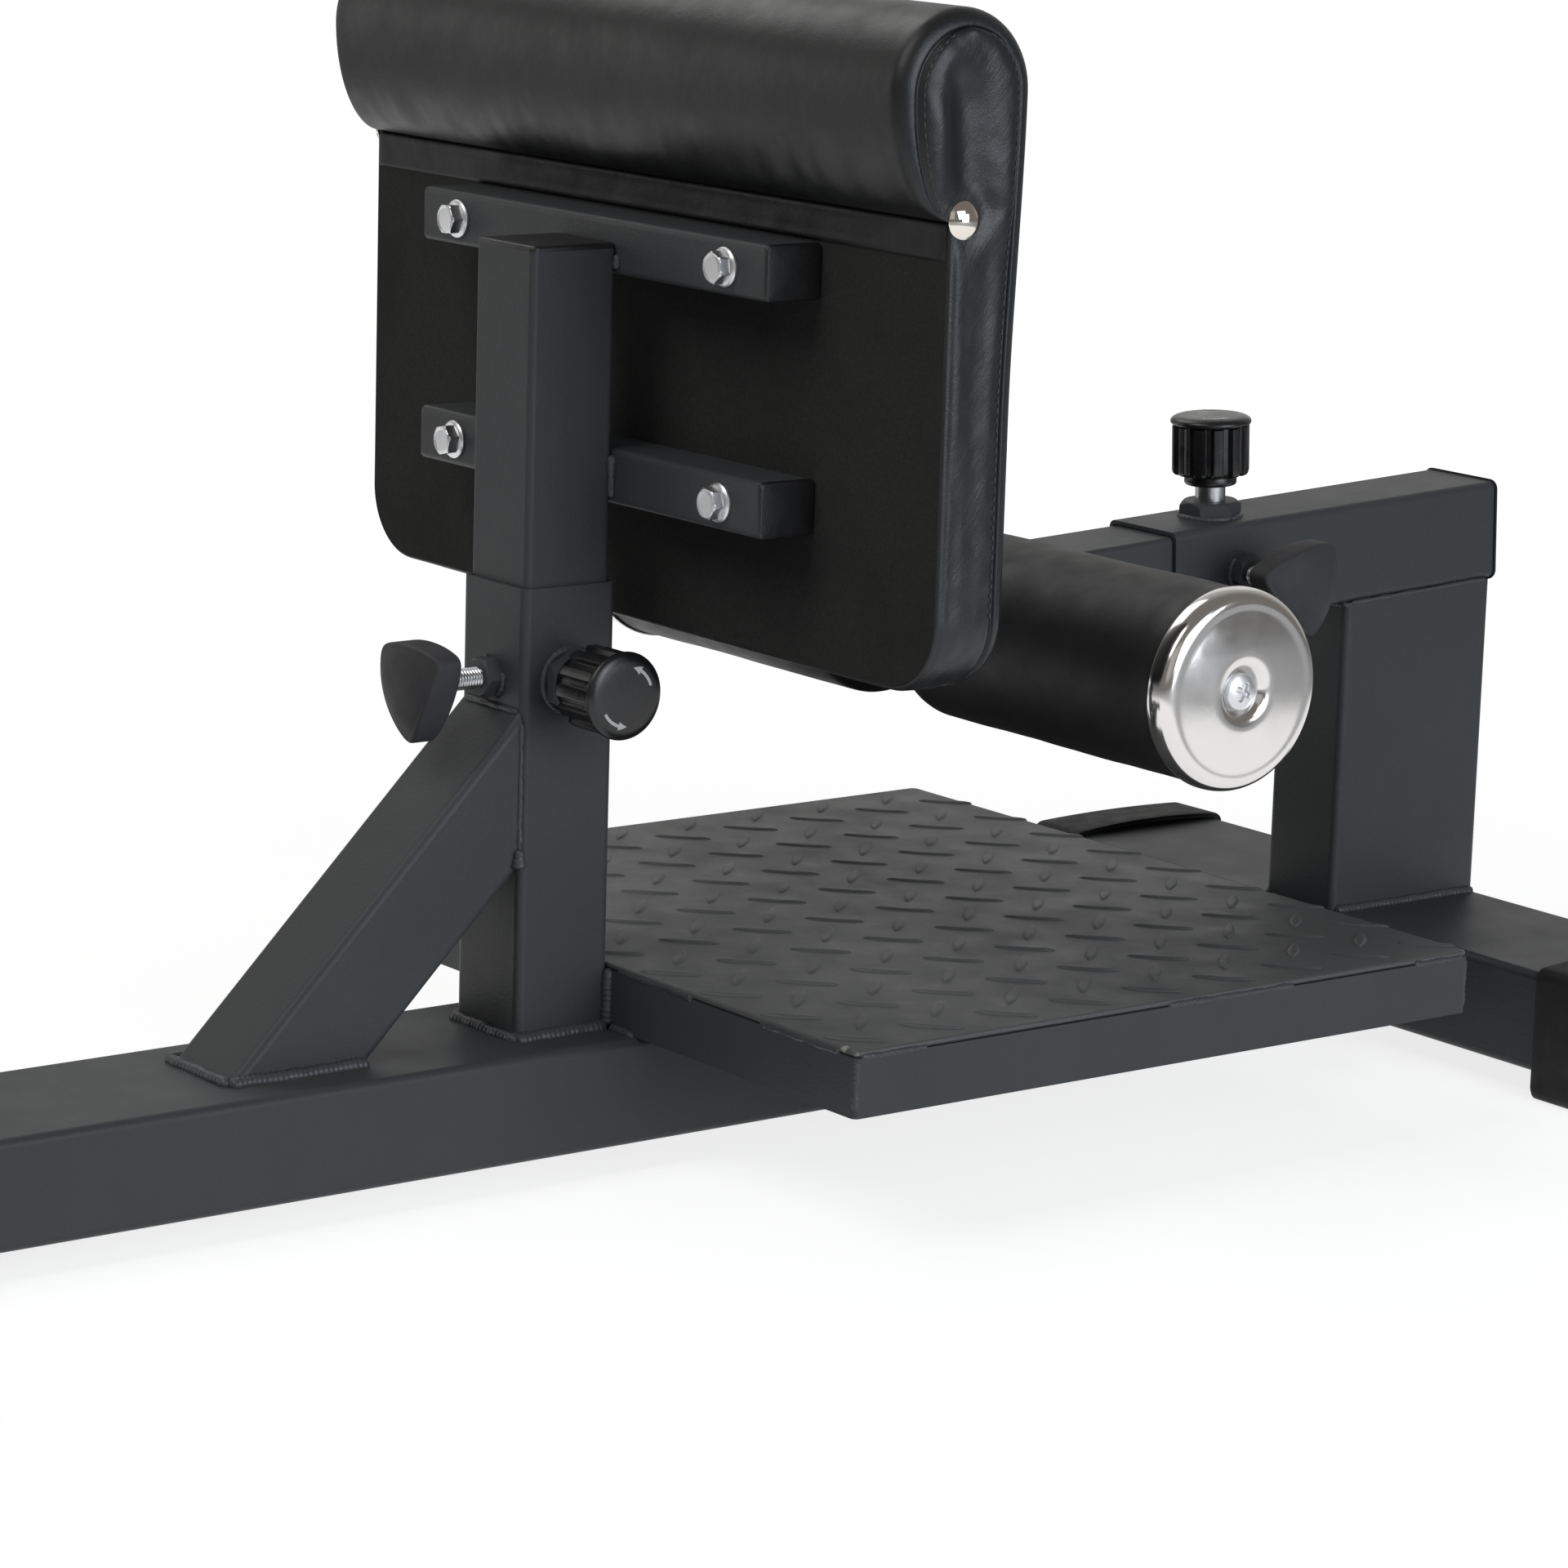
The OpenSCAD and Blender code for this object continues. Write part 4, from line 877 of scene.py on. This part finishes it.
for i, j, half in ((i, j, half) for i in range(-6, 6) for j in range(-1, 10) for half in (0, 0.5)):
    cx, cy = first[0] + (i + half) * pitch[0], first[1] + (j + half) * pitch[1]
    if abs(cx) > w / 2 - 3 or not lo[1] + 3 < cy < hi[1] - 3:
        continue
    angle = radians(-45 if half else 45)
    ca, sa = cos(angle), sin(angle)
    parts.append(([(min(w / 2 - 0.5, max(0.5 - w / 2, cx + x * ca - y * sa)),
        min(hi[1] - 0.5, max(lo[1] + 0.5, cy + x * sa + y * ca)), top + rise)
        for x, y, rise in lug], faces))
piece("tread_sheet", joined(parts), TREAD, "root", "tread_plate", merge=0.01, sharp=50)


# Weld beads

def bead_mesh(path, size, seed, lean=(0, 0, 0), rough=0.16, pitch=2.6, step=0.8, sides=10):
    """A weld bead: drops that overlap along a path, uneven in width."""
    path = [np.array(p, float) for p in path]
    places, run = [], 0
    for a, b in zip(path, path[1:]):
        length = float(np.linalg.norm(b - a))
        count = max(1, int(round(length / step)))
        places += [(a + (b - a) * k / count, run + length * k / count) for k in range(count)]
        run += length
    places.append((path[-1], run))
    rings = []
    for k, (p, s) in enumerate(places):
        along = places[min(len(places) - 1, k + 1)][0] - places[max(0, k - 1)][0]
        along /= max(1e-6, np.linalg.norm(along))
        across = np.cross(along, (0.31, 0.53, 0.79))
        across /= np.linalg.norm(across)
        up = np.cross(along, across)
        taper = sqrt(max(0.02, 1 - (1 - min(1, min(s, run - s) / size)) ** 2))
        drops = 1 + 0.10 * (2 * abs(sin(pi * s / pitch + seed)) - 1)
        r = size * taper * drops * (1 + rough * bulge(s, seed * 7, 0, 7, seed))
        wander = np.array([bulge(s, 3, seed, 11, seed + shift) for shift in (1.1, 2.7, 4.3)])
        centre = p + wander * size * 0.16 + np.array(lean)
        rings.append([centre + r * (across * cos(a) + up * sin(a)) for a in full_turn(sides)])
    return skin(rings)


x, y0, y1 = POST_HI[0], POST_LO[1], POST_HI[1]
beam_x, rim_x, rim_y, rim_z = BEAM_HI[0], RIM_HI[0], RIM_LO[1], RIM_HI[2] + 0.3
across_brace = 50 * sqrt(2)
foot_back, foot_front = BRACE_LO[1], BRACE_LO[1] + across_brace
join_low, join_high = BRACE_HI[2] - across_brace, BRACE_HI[2]
pitch = radians(ARM_PITCH)
under = [MOUTH[2] - 25 / cos(pitch) + tan(pitch) * (y - MOUTH[1])
    for y in (UP_LO[1], UP_HI[1])]
tack = dict(rough=0.4, pitch=3.4, step=1.1, sides=8)
mirrored = [    # on the right side: start, end, size, seed, lean and the like
    ((x, foot_back - 1.5, DECK), (x, foot_front, DECK), 3.1, 1.3, (1.3, 0, 0.6), {}),
    ((x, y0, join_low + 2), (x, y0, join_high - 4), 1.3, 2.9, (-0.2, -0.5, 0),
        dict(rough=0.5, pitch=4.5)),
    ((x, y0, join_low - 1), (x, y0, join_low + 9), 3.3, 4.4, (0.3, -1, 0), dict(rough=0.4)),
    ((x, y0 - 1.5, DECK), (x, y1 - 1, DECK), 3.7, 5.2, (0.6, 0, 0.1), dict(rough=0.22)),
    ((x, y1, DECK + 1), (x, y1, RIM_HI[2] + 1), 3, 6.8, (0.9, -0.6, 0), {}),
    ((x + 4, y1, DECK), (beam_x - 3, y1, DECK), 2.3, 7.7, (0, -0.7, 0.4), {}),
    ((x, UP_LO[1] + 2, DECK), (x, UP_HI[1] - 2, DECK), 2.6, 8.1, (0.5, 0, 0.4), {}),
    *[((beam_x, y, BEAM_LO[2] + 4), (beam_x, y, DECK - 4), 2.7, 9.9, (0.4, lean, 0), {})
      for y, lean in ((BEAM_HI[1], -0.6), (BEAM_LO[1], 0.6))],
    ((24.6, UP_LO[1] + 3, under[0]), (24.6, UP_HI[1] - 4, under[1]), 1, 10.4, (0, 0, 0.1),
     dict(rough=0.45, pitch=4)),
    *[((rim_x, y, DECK + 3), (rim_x, y, RIM_HI[2] - 1), 1.7, 12.2, (-1.7, lean, 0), dict(rough=0.3))
      for y, lean in ((RIM_LO[1], 1.7), (RIM_HI[1], -1.7))],
    *[((rim_x, rim_y + a, rim_z), (rim_x, rim_y + b, rim_z), 1.5, 13.1 + k, (-1.1, 0, 0), tack)
      for k, (a, b) in enumerate(((3, 40), (178, 255), (330, 362)))],
]
beads = []


def bead(start, end, size, seed, lean, side=1, **more):
    path = [(side * x, y, z) for x, y, z in (start, end)]
    beads.append(bead_mesh(path, size, seed, (side * lean[0], *lean[1:]), **more))


for side in (1, -1):
    for start, end, size, seed, lean, more in mirrored:
        bead(start, end, size, seed + side, lean, side, **more)
bead((-1 - x, foot_back, DECK), (x + 1, foot_back, DECK), 3, 21.2, (0, -0.8, 0.4))
bead((3 - x, foot_front, DECK), (x - 3, foot_front, DECK), 2.4, 22.7, (0, 0.4, 0.4))
bead((-1 - x, y0, DECK), (x + 1, y0, DECK), 3.4, 23.9, (0, -0.6, 0.1), rough=0.22)
bead((4 - x, y0, join_high), (x - 4, y0, join_high), 1.6, 24.4, (0, -0.3, 0.1), rough=0.35)
bead((4 - x, y0, join_low), (x - 4, y0, join_low), 2.3, 25.3, (0, -0.5, -0.3))
for y, lean in ((UP_LO[1], -0.16), (UP_HI[1], 0.16)):
    bead((5 - x, y, DECK), (x - 5, y, DECK), 1.9, 26.1 + y, (0, lean, -0.5))
for y in (BEAM_HI[1], BEAM_LO[1]):
    bead((5 - beam_x, y, DECK), (beam_x - 5, y, DECK), 2, 27.4 + y, (0, 0, -1.3))
bead((3 - x, UP_LO[1], under[0]), (x + 1, UP_LO[1], under[0]), 2.1, 28.8, (0, -0.5, -0.6), rough=0.3)
for k, (a, b) in enumerate(((-200, -150), (-80, -34), (32, 90), (140, 198))):
    for y, lean in ((RIM_LO[1], 1.1), (RIM_HI[1], -1.1)):
        bead((a, y, rim_z), (b, y, rim_z), 1.5, 29.5 + k, (0, lean, 0), **tack)
quarters = (-70, 20), (110, 200)
for place, radius, size, arcs in (
        (AT_POST_PIN, 14.6, 1.7, [(0, 360)]), (AT_SLEEVE_PIN, 14.6, 1.7, [(0, 360)]),
        (AT_POST_CLAMP, 9.2, 1.6, quarters), (AT_SLEEVE_CLAMP, 9.2, 1.6, quarters)):
    for k, arc in enumerate(arcs):
        path = ring(radius, 0.2, np.radians(np.linspace(*arc, 40)))
        beads.append(bead_mesh([place @ Vector(p) for p in path], size, radius + k, rough=0.3))
piece("weld_beads", joined(beads), WELD, "root", sharp=80)
on_pad = []
for s in (1, -1):
    for lo, hi in BRACKETS:
        ends = (lo[2] + 2.5, min(hi[2], INNER_HI[2]) - 2.5)
        on_pad.append(bead_mesh([(s * INNER_HI[0], INNER_HI[1], z) for z in ends], 2.2,
            11.6 + s + lo[2] * 0.01, (s * 0.7, -0.6, 0), rough=0.35))
piece("bracket_welds", joined(on_pad), WELD, "pad", sharp=80)


# Pull knobs: a fluted grip on a collar, and a cap with turning arrows

def build_knob(kind, place, foot):
    body = kind + "_pin_knob"
    angles = full_turn(288)
    grooves = 12
    notch = 1 - ease((abs(angles * grooves / (2 * pi) % 1 - 0.5) - 0.15) / 0.15)
    profile = [(3.55, 29.3), (3.55, 22.2), (7.95, 22.2), (7.95, 0.6), (8.6, 0), (11.8, 0),
        (12.5, 0.25), (12.95, 0.9), (13, 2), (12.9, 4.3), (12.6, 4.9)]
    profile += [(r - (1.6 + (r - 14.6) / 4) * notch, z)
        for r, z in ((14.6, 5), (17.2, 5.15), (18.4, 5.6), (19, 6.4))]
    profile += [(19.2 - 2.7 * notch, z) for z in (7.6, 14, 21, 27.5, 29.6)] + [(16, 29.8)]
    piece(kind + "_pull_grip", skin(turned(profile, angles, foot)), KNOB, body,
        kind + "_pin_knob", place, sharp=55)
    cap = [(0.05, 30), (17.6, 30), (18.9, 30.2), (19.7, 30.7), (20, 31.4), (20, 31.9),
        (19.75, 32.6), (19.1, 33.3), (18.1, 33.9), (16.9, 34.3), (15.6, 34.55), (12, 34.72),
        (6, 34.82), (0.05, 34.85)]
    piece(kind + "_pull_cap", lathe([(r, z + foot) for r, z in cap], 128), KNOB, body,
        kind + "_pin_cap", place, sharp=50)
    middle, low, high, head = 13.4, foot + 34.4, foot + 34.8, 4.4
    arrows = []
    for start, stop in ((108, 166), (300, 360)):
        arc = radians(stop - start) * middle
        rings = []
        shaft = np.linspace(0.06, 1 - 4.5 / arc, 14)
        for s in (0, 0.02, *shaft, 1 - head / arc, 1 - head / 2 / arc, 1):
            left = arc * (1 - s)
            half_w = 0.4 if s == 0 else 0.7 if left > 4.45 else 0.08 + 1.85 * left / head
            a = radians(start + (stop - start) * s)
            rings.append([((middle + w) * cos(a), (middle + w) * sin(a), z)
                for w, z in ((-half_w, low), (half_w, low), (half_w, high), (-half_w, high))])
        arrows.append(skin(rings))
    piece(kind + "_pull_cap_arrows", joined(arrows), PRINT, body, place=place,
        smooth=False)


build_knob("post", AT_POST_PIN, 10)
build_knob("sleeve", AT_SLEEVE_PIN, 16)


# Clamp knobs: three soft lobes with a domed face, on a screw with a cut thread

def build_clamp(kind, place):
    lobe_r, side_at, side_r, out = 26.9, 18.7, 67.2, 32
    ball, edge, blend = lobe_r * 2.4, 2.4, 0.9
    angles = full_turn(168)
    reaches = [(side_r - side_at) * np.cos(angles - a)
        + np.sqrt(side_r ** 2 - ((side_r - side_at) * np.sin(angles - a)) ** 2)
        for a in np.radians((30, 150, 270))]
    limit = -blend * np.log(sum(np.exp(-reach / blend) for reach in reaches) + exp(-lobe_r / blend))

    def dome(r):
        return 18 - (ball - np.sqrt(ball ** 2 - r ** 2))

    profile = [(5.05, 12), (5.05, 0.5), (5.6, 0), (9, 0), (9.4, 0.9), (13, 1)]
    profile += [(limit - inset, z) for inset, z in (
        (3.2, 1), (2.6, 0.2), (1.1, 0), (0.35, 0.25), (0, 1.1), (0, 4), (0, 8))]
    profile += [(limit - edge + edge * cos(a),
        dome(limit - edge) - 0.35 - edge + edge * sin(a) + 0.2 - a * 0.4 / pi)
        for a in np.linspace(0, pi / 2, 7)]
    profile += [(k * limit, dome(k * limit) - 0.1) for k in (0.85, 0.7, 0.55, 0.4, 0.25, 0.1)]
    piece(kind + "_clamp_grip", skin(turned(profile, angles, out)), CLAMP, kind + "_clamp_knob",
          kind + "_clamp_knob", place, sharp=50)
    low, high, pitch = -1.3, 43.5, 1.5
    angles = full_turn(28)
    rings = []
    for z in np.linspace(low, high, int((high - low) / pitch * 6) + 1):
        cut = abs((z / pitch - angles / (2 * pi)) % 1 - 0.5) * 2
        end = max(0, 1 - min(z - low, high - z)) * 0.9
        rings.append(ring(4.99 - 0.62 * ease((cut - 0.2) / 0.7) - end, z, angles))
    piece(kind + "_clamp_thread", skin(rings), ZINC, kind + "_clamp_screw",
          kind + "_clamp_screw", place, sharp=60)


build_clamp("post", AT_POST_CLAMP)
build_clamp("sleeve", AT_SLEEVE_CLAMP)


# Flange bolts that hold the pad

flat, half_pitch = 6.4, 104
shank = span("pad_bolts")[1][1] - INNER_HI[1]
angles = full_turn(96)
bolts = []
for lo, hi in BRACKETS:
    for x in (-half_pitch, half_pitch):
        spin = radians(17 + 23 * (x > 0) + 11 * (lo[2] > 350))
        hexagon = flat / np.cos((angles - spin + pi / 6) % (pi / 3) - pi / 6)
        profile = [(4.6, -7.72), (5.1, -7.75), (5.6, -8)]
        profile += [(np.minimum(hexagon, 6 + (z + 8) * 1.7), z)
            for z in (-7.9, -7.6, -7.2, -6.8, -3.2, -2.5)]
        profile += [(7.6, -2.3), (8.3, -1.9), (8.8, -1.3), (8.9, -0.7), (8.8, -0.1), (8.4, 0),
            (4, 0), (4, shank - 1), (3.4, shank)]
        place = moved(x, INNER_HI[1], (lo[2] + hi[2]) / 2, (-90, "X"))
        bolts.append(moved_mesh(skin(turned(profile, angles)), place))
piece("pad_flange_bolts", joined(bolts), BOLT, "pad", "pad_bolts", sharp=28)


# Roller end caps: pressed sheet with a rolled rim, a slightly domed face and a hollow for the screw

CAP_AT = 220.3    # along the axle


def build_end_cap(side, where):
    outer = [(4.35, 1), (7.9, 1.02), (8.7, 1.2), (9.6, 2), (10.6, 3.3), (11.6, 4.6), (12.6, 5.5),
        (13.8, 6.05), (15.2, 6.3), (16.6, 6.38)]
    outer += [(r, 6.38 - 0.00165 * (r * r - 18 ** 2)) for r in np.linspace(18, 36.4, 14)]
    outer += [(37.2, 4.69), (38, 4.68), (38.8, 4.7), (39.7, 4.68), (40.6, 4.58), (41.5, 4.36),
        (42.4, 3.98), (43.3, 3.4), (44.1, 2.62), (44.8, 1.68), (45.4, 0.5), (45.85, -0.9),
        (46.15, -2.4), (46.3, -4), (46.3, -6.4), (46.15, -6.85), (45.8, -7)]
    inner = [(45.3, -6.8), (45.3, -2.4), (44.6, -0.1), (43.4, 1.9), (42, 3.1), (41, 3.5), (40, 3.6),
        (39, 3.5), (38, 3.4), (36.6, 3.4), (26, 4.6), (16.2, 5.1), (14, 4.5), (11, 1.6),
        (9, 0.1), (4.35, 0)]
    piece("end_cap_" + where, lathe([(r, z + CAP_AT) for r, z in outer + inner], 160), CHROME, "arm",
          "roller_cap_" + where, at_axle(side), sharp=50)


build_end_cap(-1, "left")
build_end_cap(1, "right")


# Screws with a domed head and a cross-shaped recess
head_r, cross_at = 7.6, 0.5
angles = full_turn(96)
profile = [(4, -15), (4, 1), (8.2, 1), (8.5, 1.3), (8.5, 3.3), (8.35, 3.9), (8, 4.35)]
for r in np.linspace(head_r, 0.3, 24):
    x, y = abs(r * np.cos(angles + cross_at)), abs(r * np.sin(angles + cross_at))
    cut = ease((1.25 - np.minimum(x, y)) / 0.5) * ease((4.6 - np.maximum(x, y)) / 0.9)
    profile.append((r, 5.95 - 1.5 * (r / head_r) ** 2.6 - 1.7 * cut))
head = skin(turned(profile, angles, CAP_AT))
screws = joined([moved_mesh(head, at_axle(side)) for side in (-1, 1)])
piece("cap_screw_heads", screws, BOLT, "arm", "cap_screws", sharp=40)


# Domed studs in the pad's ends
lo, hi = span("side_studs")
radius = (hi[2] - lo[2]) / 2
dome = hi[0] - HALF - 0.15
rim = radius - 0.15
profile = [(1.5, -17.9), (1.5, -0.6), (radius - 1.4, -0.6), (radius - 0.3, -0.3), (radius, 0.15),
    (rim, 0.5)]
profile += [(rim * t, 0.5 + (dome - 0.5) * (1 - t ** 2.15)) for t in np.linspace(0.97, 0.03, 16)]
mesh = skin(turned(profile, full_turn(72)))
studs = joined([moved_mesh(mesh, moved(side * (HALF + 0.1), STUD_Y, STUD_Z, (90 * side, "Y")))
    for side in (-1, 1)])
piece("stud_domes", studs, STUD_CHROME, "pad", "side_studs", sharp=50)


# Stitches along the cover's seams

def stitches(path, side, pitch=4.2, length=2.9, radius=0.42):
    path = np.asarray(path, float)
    run = np.concatenate([[0], np.cumsum(np.linalg.norm(np.diff(path, axis=0), axis=1))])
    normal = np.array((side, 0, 0))

    def at(s):
        return np.array([np.interp(s, run, path[:, c]) for c in range(3)])

    made = []
    for q in range(int(run[-1] / pitch)):
        rings = []
        for t in np.linspace(0, 1, 6):
            s = (q + 0.5) * pitch - length / 2 + length * t
            along = at(s + 0.3) - at(s)
            across = np.cross(along / max(1e-6, np.linalg.norm(along)), normal)
            lift = radius * (1.1 * sin(pi * t) - 0.55)
            fat = radius * (0.45 + 0.55 * sin(pi * t) ** 0.5)
            rings.append([at(s) + normal * (lift + fat * sin(a)) + across * fat * cos(a)
                for a in full_turn(6)])
        made.append(skin(rings))
    return joined(made)


piece("seam_stitches", joined([stitches(*seam) for seam in SEAMS]), THREAD, "pad", sharp=70)


# Coil springs in the pull pins

def build_spring(kind, place, gap):
    node = kind + "_pin_spring"
    lo, hi = span(node)
    heights = [(place.inverted() @ Vector((x, y, z))).z
        for x in (lo[0], hi[0]) for y in (lo[1], hi[1]) for z in (lo[2], hi[2])]
    low, high = min(heights) + gap, max(heights) - gap
    wire, radius, turns, steps, sides = 0.5, 4.55, 7, 24, 8
    count = turns * steps
    points = []
    for s in range(count + 1):
        a = 2 * pi * s / steps
        z = low + wire + (high - low - 2 * wire) * s / count
        points += [(r * cos(a), r * sin(a), z + up) for r, up in
            ((radius + wire * cos(b), wire * sin(b)) for b in full_turn(sides))]
    numbers = grid(count + 1, sides)
    faces = quads(numbers, close=True) + [tuple(numbers[0, ::-1].tolist()), tuple(numbers[-1].tolist())]
    made = piece(kind + "_pin_coil", (points, faces), ZINC, kind + "_pin_barrel", node, place)
    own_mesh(made)


build_spring("post", AT_POST_PIN, 0.3)
build_spring("sleeve", AT_SLEEVE_PIN, 0.6)
